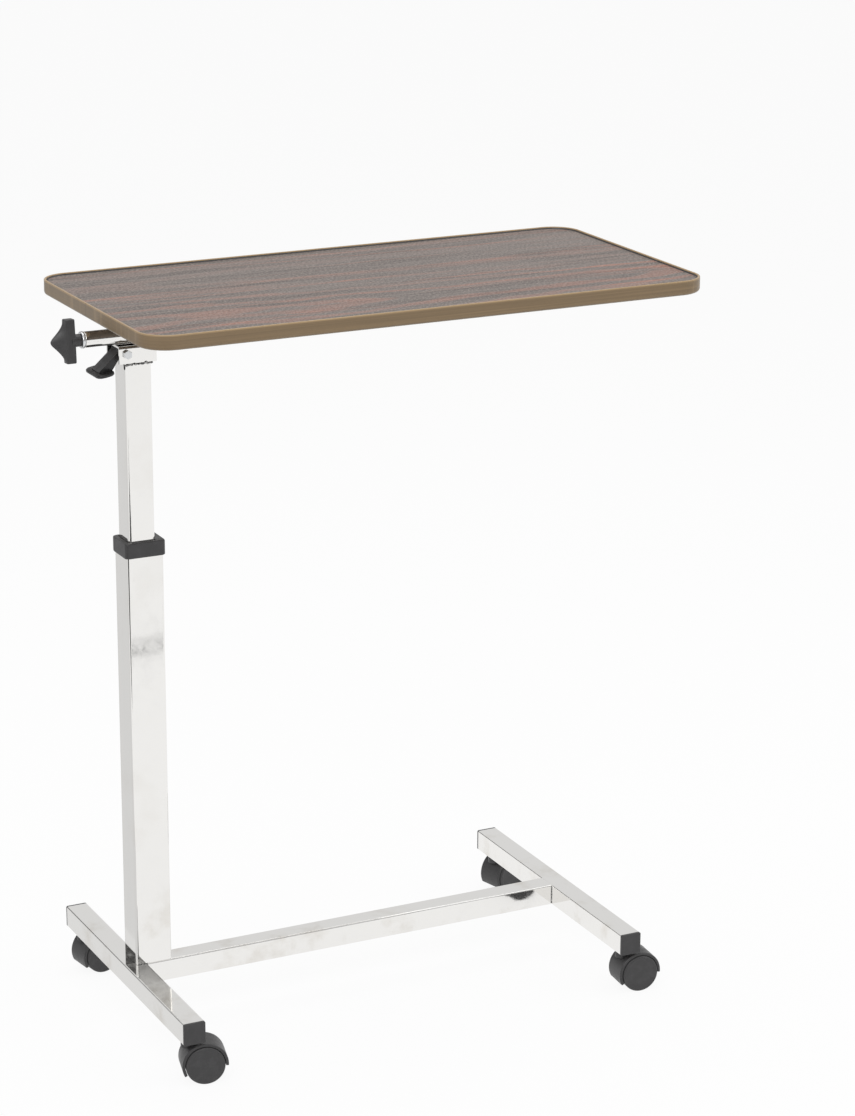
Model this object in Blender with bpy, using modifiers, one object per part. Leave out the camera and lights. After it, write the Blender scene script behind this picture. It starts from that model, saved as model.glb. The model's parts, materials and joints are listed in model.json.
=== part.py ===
"""Overbed table: a tilting top on a telescopic column and an H-shaped castered base.

Metres, +Z up. +X runs from the column to the free end of the top, +Y across it.
Pieces are laid out from the outer face of the left foot (x = 0), the centre line
of the base (y = 0) and the floor (z = 0). The origin empty then moves them so that
the model's origin is on the floor, under the middle of its bounding box.
"""
import math

import bmesh
import bpy
from mathutils import Matrix, Vector

# Clearances
FIT = 0.0003                # pieces that rest on, or are welded to, each other
SLIDE = 0.0004              # sliding and turning pieces
WELD_DISTANCE = 0.000001

# Facets
CORNER_STEPS = 3            # arc pieces in a rounded corner
ROUND_STEPS = 24            # facets in a full turn
FINE_STEPS = 32             # facets in a full turn of the hood and the knob
PIN_STEPS = 12              # facets in a full turn of a pin or rod

# Base of square tube
FOOT_LENGTH = 0.408
BASE_TUBE = 0.029
BASE_WALL = 0.0018
BASE_CORNER = 0.003
BASE_LENGTH = 0.652         # over the outer faces of both feet
BASE_CLEARANCE = 0.058      # floor to the underside of the feet
CAP_HEAD = 0.003
CAP_PLUG = 0.014
CAP_ROUNDING = 0.001

# Casters
CASTER_INSET = 0.022        # stem to the end of the foot tube
CASTER_TRAIL = 0.020        # stem to axle
WHEEL_RADIUS = 0.025
WHEEL_WIDTH = 0.017
WHEEL_ROUNDING = 0.0022
WHEEL_FACE = 0.003          # closed outer face over the axle's end
WHEEL_DISH = 0.0006
WEB_THICKNESS = 0.006       # wall between the two wheels
HOOD_WALL = 0.003
HOOD_GAP = 0.0014           # wheel to the inside of the hood
HOOD_WIDTH = 0.037
HOOD_START = -4             # degrees round the axle, from +X
HOOD_END = 207
WEB_TURN = 20               # degrees past the hood's ends where the web meets the axle's boss
AXLE_RADIUS = 0.003
AXLE_BOSS = 0.007
STEM_RADIUS = 0.004
STEM_GROOVE = 0.0008
STEM_BOSS = 0.0085
STEM_SEAT = 0.0088          # depth of the stem in the hood's boss
SOCKET_WALL = 0.0015
SOCKET_FLANGE = 0.0085
SOCKET_FLANGE_HEIGHT = 0.0015
SOCKET_DEPTH = 0.024
STEM_TIP = 0.0015           # stem beyond the top of its socket
CASTER_TURNS = {"front_left": -14, "rear_left": 8, "front_right": -5, "rear_right": 14}

# Column
OUTER_X = 0.049
OUTER_Y = 0.0425
OUTER_WALL = 0.0018
OUTER_CORNER = 0.003
OUTER_LENGTH = 0.563
COLUMN_INSET = 0.014        # outer face of the left foot to the column
COLLAR_WALL = 0.002
COLLAR_LIP = 0.004          # over the end of the outer column
COLLAR_SKIRT = 0.0155
COLLAR_CORNER = 0.0045
COLLAR_ROUNDING = 0.0012
INNER_X = 0.0355
INNER_Y = 0.037
INNER_WALL = 0.0016
INNER_CORNER = 0.0025
INNER_INSET = 0.0041        # column's left face to the inner column's
INNER_LENGTH = 0.522
REST_EXTENSION = 0.2284     # collar to the head bracket at the photographed height

# Brake at the foot of the inner column
GUIDE_HEIGHT = 0.030
GUIDE_PLUG = 0.025
WEDGE_WIDTH = 0.022
WEDGE_TOP = 0.0052
WEDGE_BOTTOM = 0.0082
WEDGE_FOOT = 0.005
WEDGE_FOOT_REACH = 0.008    # past the rod's axis
ROD_RADIUS = 0.00225
ROD_COLLAR = 0.0085
ROD_COLLAR_HEIGHT = 0.003
SPRING_RADIUS = 0.0066
SPRING_WIRE = 0.0008
SPRING_CURLS = 8
SPRING_PITCH = 0.006
SPRING_POINTS = 8           # points in one curl

# Head bracket and release lever
BRACKET_LENGTH = 0.049
BRACKET_INSET = 0.004       # outer column's left face to the bracket's
BRACKET_HEIGHT = 0.022
BRACKET_PLATE = 0.0025
BRACKET_CORNER = 0.0035
BRACKET_OVERLAP = 0.004     # flanges over the top of the inner column
PIVOT_IN = 0.0103           # bracket's open end to the lever's pivot
PIVOT_UP = 0.012            # bracket's lower edge to the lever's pivot
BOLT_RADIUS = 0.003
BOLT_HEAD = 0.0058          # across corners, halved
BOLT_HEAD_HEIGHT = 0.004
NUT_HEIGHT = 0.005
LEVER_HUB = 0.0064
HUB_SIDE = 0.00384          # where the arm's upper edge meets the hub, from the pivot
HUB_TOP = 0.00512
LEVER_WIDTH = 0.024
LEVER_TIP = 0.0036          # arm past the rod's axis
LEVER_DROP = 0.0052         # pivot to the face that pushes the rod
PADDLE_REACH = 0.0275       # pivot to the middle of the paddle
PADDLE_DROP = 0.0235
PADDLE_LENGTH = 0.024
PADDLE_WIDTH = 0.050
PADDLE_PLATE = 0.0042
PADDLE_CORNER = 0.009
PADDLE_SLOPE = -9           # degrees, outer edge lower

# Tilting head
TILT_TUBE_RADIUS = 0.010
TILT_TUBE_WALL = 0.0015
TILT_TUBE_LENGTH = 0.450
TILT_TUBE_OVERHANG = 0.030  # past the outer face of the left foot
WASHER_RADIUS = 0.0105
WASHER_HEIGHT = 0.004
CLAMP_ROD_RADIUS = 0.004
KNOB_RADIUS = 0.0290
KNOB_WAIST = 0.0085         # half the bar's width in the middle
KNOB_WING = 0.0100          # half the bar's width near its ends
KNOB_CORNER = 0.0030
KNOB_SIDE_STEPS = 8
KNOB_CONE_STEPS = 7
KNOB_LEAN = -9.6            # degrees, upper wing towards the front
KNOB_BAND = 0.012
KNOB_CONE = 0.018
KNOB_TIP = 0.0045
TIP_FLAT = 0.7              # share of the tip's radius that its end keeps
TIP_EASE = 0.25             # share of the tip's radius that its end drops
KNOB_HOLLOW = 2.2           # power of the cone's concave side
KNOB_NECK_RADIUS = 0.0078
KNOB_NECK = 0.0057
KNOB_BORE = 0.010
CLAMP_DISC_RADIUS = 0.0155
CLAMP_DISC_HEIGHT = 0.003
CLAMP_NUT_RADIUS = 0.0075
CLAMP_NUT_HEIGHT = 0.0065
CLAMP_ROD_END = 0.004       # rod past the clamp nut
SADDLE_LENGTH = 0.026
SADDLE_WALL = 0.0035
SADDLE_HEIGHT = 0.0229      # tilt axis to the underside of the top
SADDLE_FLANGE = 0.0875
SADDLE_PLATE = 0.003
SADDLE_GAP = 0.014          # head bracket to the near saddle
SADDLE_OVERLAP = 0.0006     # far saddle past the end of the tilt tube

# Top
TOP_LENGTH = 0.762
TOP_DEPTH = 0.381
TOP_CORNER = 0.038
TOP_CORNER_STEPS = 8
TOP_OVERHANG = 0.0215       # past the outer face of the left foot
PANEL_THICKNESS = 0.015
LAMINATE = 0.001
EDGE_HEIGHT = 0.019
EDGE_WALL = 0.003
EDGE_ROUNDING = 0.0016
EDGE_EASE = 0.3             # share of the rounding at its middle point
EDGE_LIP = 0.0032           # width of the lip that stands above the laminate
TONGUE_DEPTH = 0.006        # edge moulding's tongue in the panel's groove
TONGUE_HEIGHT = 0.002
TONGUE_UP = 0.0065          # panel's underside to the tongue

# Levels and positions that follow from the sizes
FOOT_X = {"left": BASE_TUBE / 2, "right": BASE_LENGTH - BASE_TUBE / 2}
FOOT_MIDDLE = BASE_CLEARANCE + BASE_TUBE / 2
FOOT_TOP = BASE_CLEARANCE + BASE_TUBE
COLUMN_BOTTOM = FOOT_TOP + FIT
COLUMN_TOP = COLUMN_BOTTOM + OUTER_LENGTH
COLUMN_X = COLUMN_INSET + OUTER_X / 2
COLUMN_Y = (OUTER_Y - BASE_TUBE) / 2
COLLAR_TOP = COLUMN_TOP + FIT + COLLAR_LIP
INNER_MIDDLE = COLUMN_INSET + INNER_INSET + INNER_X / 2
BRACKET_BOTTOM = COLLAR_TOP + REST_EXTENSION
BRACKET_TOP = BRACKET_BOTTOM + BRACKET_HEIGHT
BRACKET_START = COLUMN_INSET - BRACKET_INSET
INNER_TOP = BRACKET_BOTTOM + BRACKET_OVERLAP
INNER_BOTTOM = INNER_TOP - INNER_LENGTH
GUIDE_TOP = INNER_BOTTOM - FIT
GUIDE_BOTTOM = GUIDE_TOP - GUIDE_HEIGHT
PLUG_TOP = GUIDE_TOP + GUIDE_PLUG
PIVOT = Vector((BRACKET_START + PIVOT_IN, COLUMN_Y, BRACKET_BOTTOM + PIVOT_UP))
ROD_TOP = PIVOT.z - LEVER_DROP - FIT
ROD_BOTTOM = GUIDE_BOTTOM
TILT_AXIS = BRACKET_TOP + FIT + TILT_TUBE_RADIUS
TUBE_START = -TILT_TUBE_OVERHANG
TUBE_END = TUBE_START + TILT_TUBE_LENGTH
WASHER_START = TUBE_START - FIT
KNOB_NECK_START = WASHER_START - WASHER_HEIGHT - FIT
KNOB_BACK = KNOB_NECK_START - KNOB_NECK
KNOB_END = KNOB_BACK - KNOB_BAND - KNOB_CONE
FAR_SADDLE_END = TUBE_END + SADDLE_OVERLAP
CLAMP_DISC_START = FAR_SADDLE_END + FIT
CLAMP_NUT_START = CLAMP_DISC_START + CLAMP_DISC_HEIGHT + FIT
TOP_MIDDLE = TOP_LENGTH / 2 - TOP_OVERHANG
ORIGIN_X = (KNOB_END + TOP_LENGTH - TOP_OVERHANG) / 2

# Outlines drawn in YZ and pushed along X, or drawn in XZ and pushed along Y
PROFILE_X = Matrix(((0, 0, 1, 0), (1, 0, 0, 0), (0, 1, 0, 0), (0, 0, 0, 1)))
PROFILE_Y = Matrix(((1, 0, 0, 0), (0, 0, -1, 0), (0, 1, 0, 0), (0, 0, 0, 1)))


def arc(centre, radius, start, end, steps):
    """Points on an arc, from one angle to another in degrees."""
    turn = [math.radians(start + (end - start) * i / steps) for i in range(steps + 1)]
    return [(centre[0] + radius * math.cos(a), centre[1] + radius * math.sin(a)) for a in turn]


def circle(radius, steps=ROUND_STEPS, centre=(0, 0)):
    """Points round a full circle."""
    return arc(centre, radius, 0, 360, steps)[:-1]


def rounded_rectangle(width, depth, radius, steps=CORNER_STEPS, centre=(0, 0)):
    """Points round a rectangle whose corners are arcs."""
    points = []
    for quarter, (sx, sy) in enumerate(((1, 1), (-1, 1), (-1, -1), (1, -1))):
        corner = (centre[0] + sx * (width / 2 - radius), centre[1] + sy * (depth / 2 - radius))
        points += arc(corner, radius, 90 * quarter, 90 * quarter + 90, steps)
    return points


def mesh_of(bm):
    """Mesh from a bmesh, with its faces pointing out."""
    bmesh.ops.recalc_face_normals(bm, faces=bm.faces)
    mesh = bpy.data.meshes.new("shape")
    bm.to_mesh(mesh)
    bm.free()
    return mesh


def evaluated(data, modifiers=()):
    """Mesh of a curve or mesh after its modifiers, with loose caps welded."""
    holder = bpy.data.objects.new("holder", data)
    bpy.context.scene.collection.objects.link(holder)
    for kind, settings in modifiers:
        modifier = holder.modifiers.new(kind.title(), kind)
        for key, value in settings.items():
            setattr(modifier, key, value)
    bpy.context.view_layer.update()
    shape = holder.evaluated_get(bpy.context.evaluated_depsgraph_get())
    mesh = bpy.data.meshes.new_from_object(shape)
    bpy.data.objects.remove(holder)
    bm = bmesh.new()
    bm.from_mesh(mesh)
    bpy.data.meshes.remove(mesh)
    bmesh.ops.remove_doubles(bm, verts=bm.verts, dist=WELD_DISTANCE)
    return mesh_of(bm)


def plate(loops, thickness):
    """Flat outline, with any further loops as holes, thickened to both sides of z = 0."""
    curve = bpy.data.curves.new("outline", "CURVE")
    curve.dimensions = "2D"
    curve.fill_mode = "BOTH"
    curve.extrude = thickness / 2
    for loop in loops:
        spline = curve.splines.new("POLY")
        spline.points.add(len(loop) - 1)
        for point, (x, y) in zip(spline.points, loop):
            point.co = (x, y, 0, 1)
        spline.use_cyclic_u = True
    return evaluated(curve)


def turned(profile, steps=ROUND_STEPS):
    """Profile of (radius, height) points, outer side top to bottom, turned about Z."""
    bm = bmesh.new()
    points = [bm.verts.new((radius, 0, height)) for radius, height in profile]
    for first, second in zip(points, points[1:]):
        bm.edges.new((first, second))
    mesh = bpy.data.meshes.new("profile")
    bm.to_mesh(mesh)
    bm.free()
    screw = {"steps": steps, "render_steps": steps, "use_merge_vertices": True,
             "merge_threshold": 0.00001}
    return evaluated(mesh, [("SCREW", screw)])


def loft(loops, ring=False):
    """Skin through loops of 3D points, capped at both ends or closed into a ring."""
    bm = bmesh.new()
    rows = []
    for loop in loops:
        rows.append([bm.verts.new(point) for point in loop])
    for lower, upper in zip(rows, rows[1:] + rows[:1] if ring else rows[1:]):
        for i, point in enumerate(lower):
            bm.faces.new((lower[i - 1], point, upper[i], upper[i - 1]))
    if not ring:
        bm.faces.new(rows[0])
        bm.faces.new(rows[-1])
    return mesh_of(bm)


def at_height(loop, height):
    """Flat loop lifted to a height."""
    return [(x, y, height) for x, y in loop]


def cylinder(radius, length, sides=ROUND_STEPS):
    """Cylinder along Z, centred on the origin."""
    bm = bmesh.new()
    bmesh.ops.create_cone(bm, cap_ends=True, segments=sides, radius1=radius, radius2=radius, depth=length)
    return mesh_of(bm)


def moved(mesh, *matrices):
    """Mesh after a few transforms, the first one given applied first."""
    for matrix in matrices:
        mesh.transform(matrix)
    return mesh


def shift(x=0, y=0, z=0):
    """Translation matrix."""
    return Matrix.Translation((x, y, z))


def combined(mesh, operation, others):
    """Mesh after one Boolean operation with each of the other meshes in turn."""
    tools = []
    steps = []
    for other in others:
        tool = bpy.data.objects.new("cutter", other)
        bpy.data.collections["cutters"].objects.link(tool)
        tool.hide_render = True
        tool.display_type = "WIRE"
        tools.append(tool)
        steps.append(("BOOLEAN", {"operation": operation, "object": tool, "solver": "EXACT"}))
    result = evaluated(mesh, steps)
    for tool in tools:
        bpy.data.objects.remove(tool)
    return result


def material(name, colour, roughness, metallic):
    """Plain Principled material."""
    look = bpy.data.materials.new(name)
    look.use_nodes = True
    shader = look.node_tree.nodes["Principled BSDF"]
    shader.inputs["Base Color"].default_value = (*colour, 1)
    shader.inputs["Roughness"].default_value = roughness
    shader.inputs["Metallic"].default_value = metallic
    look.diffuse_color = (*colour, 1)
    return look


def empty(name, place, parent=None, turn=0):
    """Empty that carries pieces; its place is in the parent's frame."""
    carrier = bpy.data.objects.new(name, None)
    bpy.data.collections["overbed_table"].objects.link(carrier)
    carrier.empty_display_size = 0.03
    carrier.parent = parent
    carrier.location = place
    carrier.rotation_euler.z = math.radians(turn)
    return carrier


def piece(name, mesh, look, parent, place=(0, 0, 0)):
    """Object for one physical piece, its mesh given in its own frame."""
    mesh.name = name
    if not mesh.materials:
        mesh.materials.append(bpy.data.materials[look])
    mesh.shade_smooth()
    mesh.set_sharp_from_angle(angle=math.radians(35))
    body = bpy.data.objects.new(name, mesh)
    bpy.data.collections["overbed_table"].objects.link(body)
    body.parent = parent
    body.location = place
    return body


def tube_section(width, depth, wall, corner):
    """Outer and inner loops of a rounded rectangular tube."""
    outer = rounded_rectangle(width, depth, corner)
    inner = rounded_rectangle(width - 2 * wall, depth - 2 * wall, corner - wall)
    return [outer, inner]


def foot_tube():
    """Foot along Y, centred, with a hole in its lower wall for each caster socket."""
    tube = moved(plate(tube_section(BASE_TUBE, BASE_TUBE, BASE_WALL, BASE_CORNER), FOOT_LENGTH), PROFILE_Y)
    holes = []
    for side in (-1, 1):
        hole = cylinder(STEM_RADIUS + SLIDE + SOCKET_WALL + FIT, 2 * BASE_WALL)
        holes.append(moved(hole, shift(y=side * (FOOT_LENGTH / 2 - CASTER_INSET), z=-BASE_TUBE / 2)))
    return combined(tube, "DIFFERENCE", holes)


def foot_cap():
    """End cap whose plug runs along +Z from the back of its head at z = 0."""
    plug = BASE_TUBE - 2 * BASE_WALL - 2 * FIT
    plug_corner = BASE_CORNER - BASE_WALL
    levels = [(plug - 2 * CAP_ROUNDING, plug_corner, CAP_PLUG), (plug, plug_corner, CAP_PLUG - CAP_ROUNDING),
              (plug, plug_corner, 0), (BASE_TUBE, BASE_CORNER, 0),
              (BASE_TUBE, BASE_CORNER, CAP_ROUNDING - CAP_HEAD),
              (BASE_TUBE - 2 * CAP_ROUNDING, BASE_CORNER, -CAP_HEAD)]
    return loft([at_height(rounded_rectangle(w, w, r), z) for w, r, z in levels])


def caster_hood():
    """Hood, middle web and stem boss, with the stem on the Z axis and the axle at +X."""
    inside = WHEEL_RADIUS + HOOD_GAP
    outline = arc((0, 0), inside + HOOD_WALL, HOOD_START, HOOD_END, FINE_STEPS * 2 // 3)
    outline += arc((0, 0), AXLE_BOSS, HOOD_END + WEB_TURN, HOOD_START + 360 - WEB_TURN, PIN_STEPS // 2)
    body = moved(plate([outline], HOOD_WIDTH), PROFILE_Y, shift(x=CASTER_TRAIL, z=WHEEL_RADIUS))
    boss_top = BASE_CLEARANCE - SOCKET_FLANGE_HEIGHT - 2 * FIT
    boss_bottom = WHEEL_RADIUS + AXLE_BOSS
    boss = moved(cylinder(STEM_BOSS, boss_top - boss_bottom), shift(z=(boss_top + boss_bottom) / 2))
    body = combined(body, "UNION", [boss])
    cuts = []
    for side in (-1, 1):
        bay = moved(cylinder(inside, HOOD_WIDTH, FINE_STEPS), Matrix.Rotation(math.pi / 2, 4, "X"))
        cuts.append(moved(bay, shift(CASTER_TRAIL, side * (WEB_THICKNESS + HOOD_WIDTH) / 2, WHEEL_RADIUS)))
    bore = moved(cylinder(AXLE_RADIUS + FIT, HOOD_WIDTH), Matrix.Rotation(math.pi / 2, 4, "X"))
    cuts.append(moved(bore, shift(CASTER_TRAIL, 0, WHEEL_RADIUS)))
    cuts.append(moved(cylinder(STEM_RADIUS + FIT, 2 * STEM_SEAT), shift(z=boss_top)))
    return combined(body, "DIFFERENCE", cuts)


def caster_stem():
    """Stem from its seat in the hood to its tip inside the foot, on the Z axis."""
    bottom = BASE_CLEARANCE - SOCKET_FLANGE_HEIGHT - 2 * FIT - STEM_SEAT + FIT
    top = BASE_CLEARANCE - FIT - SOCKET_FLANGE_HEIGHT + SOCKET_DEPTH + STEM_TIP
    neck = STEM_RADIUS - STEM_GROOVE
    ring = 2 * STEM_GROOVE
    profile = [(0, top), (neck, top), (STEM_RADIUS, top - STEM_GROOVE), (STEM_RADIUS, top - 2 * ring),
               (neck, top - 2.5 * ring), (neck, top - 4 * ring), (STEM_RADIUS, top - 4.5 * ring),
               (STEM_RADIUS, bottom), (0, bottom)]
    return turned(profile, PIN_STEPS)


def caster_socket():
    """Flanged sleeve in the foot's lower wall, on the Z axis."""
    bore = STEM_RADIUS + SLIDE
    bottom = BASE_CLEARANCE - FIT - SOCKET_FLANGE_HEIGHT
    top = bottom + SOCKET_DEPTH
    flange_top = BASE_CLEARANCE - FIT
    profile = [(bore, top), (bore + SOCKET_WALL, top), (bore + SOCKET_WALL, flange_top),
               (SOCKET_FLANGE, flange_top), (SOCKET_FLANGE, bottom), (bore, bottom), (bore, top)]
    return turned(profile, PIN_STEPS)


def caster_wheel(side):
    """Wheel centred on its axle, closed on its outer face and bored from the inside."""
    inner = WEB_THICKNESS / 2 + 2 * FIT
    outer = inner + WHEEL_WIDTH
    bore = AXLE_RADIUS + SLIDE
    rim = WHEEL_RADIUS - WHEEL_ROUNDING
    profile = [(0, outer - WHEEL_DISH), (rim - WHEEL_ROUNDING, outer - WHEEL_DISH), (rim, outer),
               (WHEEL_RADIUS, outer - WHEEL_ROUNDING), (WHEEL_RADIUS, inner + WHEEL_ROUNDING),
               (rim, inner), (bore, inner), (bore, outer - WHEEL_FACE), (0, outer - WHEEL_FACE)]
    return moved(turned(profile), Matrix.Rotation(-side * math.pi / 2, 4, "X"))


def caster_axle():
    """Axle across both wheels, centred."""
    length = WEB_THICKNESS + 4 * FIT + 2 * (WHEEL_WIDTH - WHEEL_FACE - FIT)
    return moved(cylinder(AXLE_RADIUS, length, PIN_STEPS), Matrix.Rotation(math.pi / 2, 4, "X"))


def column_collar():
    """Cap over the outer column that guides the inner one, its top at z = 0."""
    width = OUTER_X + 2 * (FIT + COLLAR_WALL)
    depth = OUTER_Y + 2 * (FIT + COLLAR_WALL)
    bottom = -COLLAR_LIP - FIT - COLLAR_SKIRT
    ease = COLLAR_ROUNDING
    levels = [(2 * ease, 0), (ease / 2, -ease / 2), (0, -1.5 * ease), (0, bottom + ease), (ease, bottom)]
    body = loft([at_height(rounded_rectangle(width - i, depth - i, COLLAR_CORNER), z) for i, z in levels])
    socket = rounded_rectangle(OUTER_X + 2 * FIT, OUTER_Y + 2 * FIT, OUTER_CORNER)
    socket = moved(plate([socket], 2 * COLLAR_SKIRT), shift(z=-COLLAR_LIP - COLLAR_SKIRT))
    bore = rounded_rectangle(INNER_X + 2 * SLIDE, INNER_Y + 2 * SLIDE, INNER_CORNER)
    bore = moved(plate([bore], -4 * bottom), shift(x=INNER_MIDDLE - COLUMN_X))
    return combined(body, "DIFFERENCE", [socket, bore])


def lower_guide():
    """Plastic guide at the foot of the inner column, with the wedge's pocket and the rod's bore."""
    room_x = OUTER_X - 2 * OUTER_WALL - 2 * SLIDE
    room_y = OUTER_Y - 2 * OUTER_WALL - 2 * SLIDE
    block = rounded_rectangle(room_x, room_y, OUTER_CORNER - OUTER_WALL)
    block = moved(plate([block], GUIDE_HEIGHT), shift(COLUMN_X, COLUMN_Y, (GUIDE_TOP + GUIDE_BOTTOM) / 2))
    plug = rounded_rectangle(INNER_X - 2 * INNER_WALL - 2 * FIT, INNER_Y - 2 * INNER_WALL - 2 * FIT,
                             INNER_CORNER - INNER_WALL)
    plug = plate([plug], GUIDE_PLUG + GUIDE_HEIGHT / 2)
    plug = moved(plug, shift(INNER_MIDDLE, COLUMN_Y, PLUG_TOP - GUIDE_PLUG / 2 - GUIDE_HEIGHT / 4))
    body = combined(block, "UNION", [plug])
    bore = cylinder(ROD_RADIUS + SLIDE, 4 * (GUIDE_PLUG + GUIDE_HEIGHT))
    bore = moved(bore, shift(INNER_MIDDLE, COLUMN_Y, GUIDE_TOP))
    pocket = moved(plate([wedge_outline(FIT)], WEDGE_WIDTH + 2 * SLIDE), PROFILE_Y, shift(y=COLUMN_Y))
    return combined(body, "DIFFERENCE", [bore, pocket])


def wedge_outline(gap):
    """Side view of the wedge; with a gap it is the outline of the pocket cut for it."""
    wall = COLUMN_INSET + OUTER_X - OUTER_WALL - FIT + 3 * gap
    lower = GUIDE_BOTTOM - FIT - gap
    upper = GUIDE_TOP - WEDGE_FOOT + gap
    top_face = wall - WEDGE_TOP - 4 * gap
    bottom_face = wall - WEDGE_BOTTOM - 4 * gap
    tail = INNER_MIDDLE - WEDGE_FOOT_REACH
    return [(tail, lower - WEDGE_FOOT), (wall, lower - WEDGE_FOOT), (wall, upper), (top_face, upper),
            (bottom_face, lower), (tail, lower)]


def brake_wedge():
    """Wedge between the guide and the outer column, with the foot that the rod pushes."""
    return moved(plate([wedge_outline(0)], WEDGE_WIDTH), PROFILE_Y, shift(y=COLUMN_Y))


def spring_base():
    """Height of the middle of the spring's lowest wire."""
    return PLUG_TOP + FIT + SPRING_WIRE


def rod_collar_bottom():
    """Height at which the rod's collar sits on the spring."""
    return spring_base() + SPRING_CURLS * SPRING_PITCH + SPRING_WIRE + FIT


def release_rod():
    """Push rod inside the inner column, on the Z axis, with the collar that the spring lifts."""
    collar = rod_collar_bottom()
    profile = [(0, ROD_TOP), (ROD_RADIUS, ROD_TOP), (ROD_RADIUS, collar + ROD_COLLAR_HEIGHT),
               (ROD_COLLAR, collar + ROD_COLLAR_HEIGHT), (ROD_COLLAR, collar), (ROD_RADIUS, collar),
               (ROD_RADIUS, ROD_BOTTOM), (0, ROD_BOTTOM)]
    return turned(profile, PIN_STEPS)


def return_spring():
    """Helical compression spring round the rod, one unbroken wire on the Z axis."""
    count = SPRING_CURLS * SPRING_POINTS
    points = []
    for i in range(count + 1):
        angle = 2 * math.pi * i / SPRING_POINTS
        rise = spring_base() + SPRING_PITCH * i / SPRING_POINTS
        points.append(Vector((SPRING_RADIUS * math.cos(angle), SPRING_RADIUS * math.sin(angle), rise)))
    gaps = [(points[i] - points[j]).length for i in range(count + 1)
            for j in range(i + SPRING_POINTS // 2, count + 1)]
    print("return_spring least gap, mm:", round(1000 * (min(gaps) - 2 * SPRING_WIRE), 3))
    curve = bpy.data.curves.new("spring", "CURVE")
    curve.dimensions = "3D"
    curve.bevel_depth = SPRING_WIRE
    curve.bevel_resolution = 1
    curve.use_fill_caps = True
    spline = curve.splines.new("POLY")
    spline.points.add(count)
    for point, place in zip(spline.points, points):
        point.co = (*place, 1)
    return evaluated(curve)


def head_bracket():
    """Inverted channel over the inner column, cut for the lever's pivot bolt."""
    inside = INNER_Y / 2 + FIT
    outside = inside + BRACKET_PLATE
    bend = BRACKET_CORNER - BRACKET_PLATE
    under = BRACKET_TOP - BRACKET_PLATE
    shoulder = outside - BRACKET_CORNER
    level = BRACKET_TOP - BRACKET_CORNER
    outline = arc((shoulder, level), BRACKET_CORNER, 0, 90, CORNER_STEPS)
    outline += arc((-shoulder, level), BRACKET_CORNER, 90, 180, CORNER_STEPS)
    outline += [(-outside, BRACKET_BOTTOM), (-inside, BRACKET_BOTTOM)]
    outline += arc((bend - inside, under - bend), bend, 180, 90, CORNER_STEPS)
    outline += arc((inside - bend, under - bend), bend, 90, 0, CORNER_STEPS)
    outline += [(inside, BRACKET_BOTTOM), (outside, BRACKET_BOTTOM)]
    middle = shift(BRACKET_START + BRACKET_LENGTH / 2, COLUMN_Y)
    body = moved(plate([outline], BRACKET_LENGTH), PROFILE_X, middle)
    bore = moved(cylinder(BOLT_RADIUS + FIT, 4 * outside), Matrix.Rotation(math.pi / 2, 4, "X"))
    return combined(body, "DIFFERENCE", [moved(bore, Matrix.Translation(PIVOT))])


def bracket_half():
    """Half the head bracket's width over its flanges."""
    return INNER_Y / 2 + FIT + BRACKET_PLATE


def pivot_bolt():
    """Hexagon bolt along Y through both flanges, its head towards -Y, centred on the pivot."""
    head = cylinder(BOLT_HEAD, BOLT_HEAD_HEIGHT, 6)
    head = moved(head, shift(z=bracket_half() + FIT + BOLT_HEAD_HEIGHT / 2))
    length = 2 * bracket_half() + 2 * FIT + NUT_HEIGHT + BOLT_HEAD_HEIGHT / 2
    shank = cylinder(BOLT_RADIUS, length, PIN_STEPS)
    shank = moved(shank, shift(z=bracket_half() + FIT + BOLT_HEAD_HEIGHT / 2 - length / 2))
    return moved(combined(shank, "UNION", [head]), Matrix.Rotation(math.pi / 2, 4, "X"))


def pivot_nut():
    """Hexagon nut on the bolt's far end, centred on the pivot."""
    nut = plate([circle(BOLT_HEAD, 6), circle(BOLT_RADIUS + FIT, PIN_STEPS)], NUT_HEIGHT)
    return moved(nut, shift(z=-bracket_half() - FIT - NUT_HEIGHT / 2), Matrix.Rotation(math.pi / 2, 4, "X"))


def release_lever():
    """Paddle lever about the pivot: hub, push arm over the rod, and paddle at -X."""
    rod = INNER_MIDDLE - PIVOT.x
    bore = BOLT_RADIUS + SLIDE
    half = PADDLE_PLATE / 2
    inner = -PADDLE_REACH - PADDLE_LENGTH / 4
    arm = [(rod + LEVER_TIP, -LEVER_DROP), (rod + LEVER_TIP, 0), (HUB_SIDE, HUB_TOP)]
    arm += [(-HUB_SIDE, HUB_TOP), (inner, half - PADDLE_DROP), (inner, -half - PADDLE_DROP)]
    arm += [(-PADDLE_REACH + PADDLE_LENGTH / 3, -half - PADDLE_DROP), (-LEVER_HUB, -LEVER_HUB)]
    body = moved(plate([arm], LEVER_WIDTH), PROFILE_Y)
    hub = moved(cylinder(LEVER_HUB, LEVER_WIDTH), Matrix.Rotation(math.pi / 2, 4, "X"))
    ease = half / 2
    levels = [(ease, -half), (0, -half / 2), (0, half / 2), (ease, half)]
    rows = []
    for inset, z in levels:
        outline = rounded_rectangle(PADDLE_LENGTH - 2 * inset, PADDLE_WIDTH - 2 * inset, PADDLE_CORNER - inset)
        rows.append(at_height(outline, z))
    paddle = loft(rows)
    paddle = moved(paddle, Matrix.Rotation(math.radians(PADDLE_SLOPE), 4, "Y"),
                   shift(-PADDLE_REACH, 0, -PADDLE_DROP))
    body = combined(body, "UNION", [hub, paddle])
    hole = moved(cylinder(bore, 2 * LEVER_WIDTH), Matrix.Rotation(math.pi / 2, 4, "X"))
    return combined(body, "DIFFERENCE", [hole])


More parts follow.
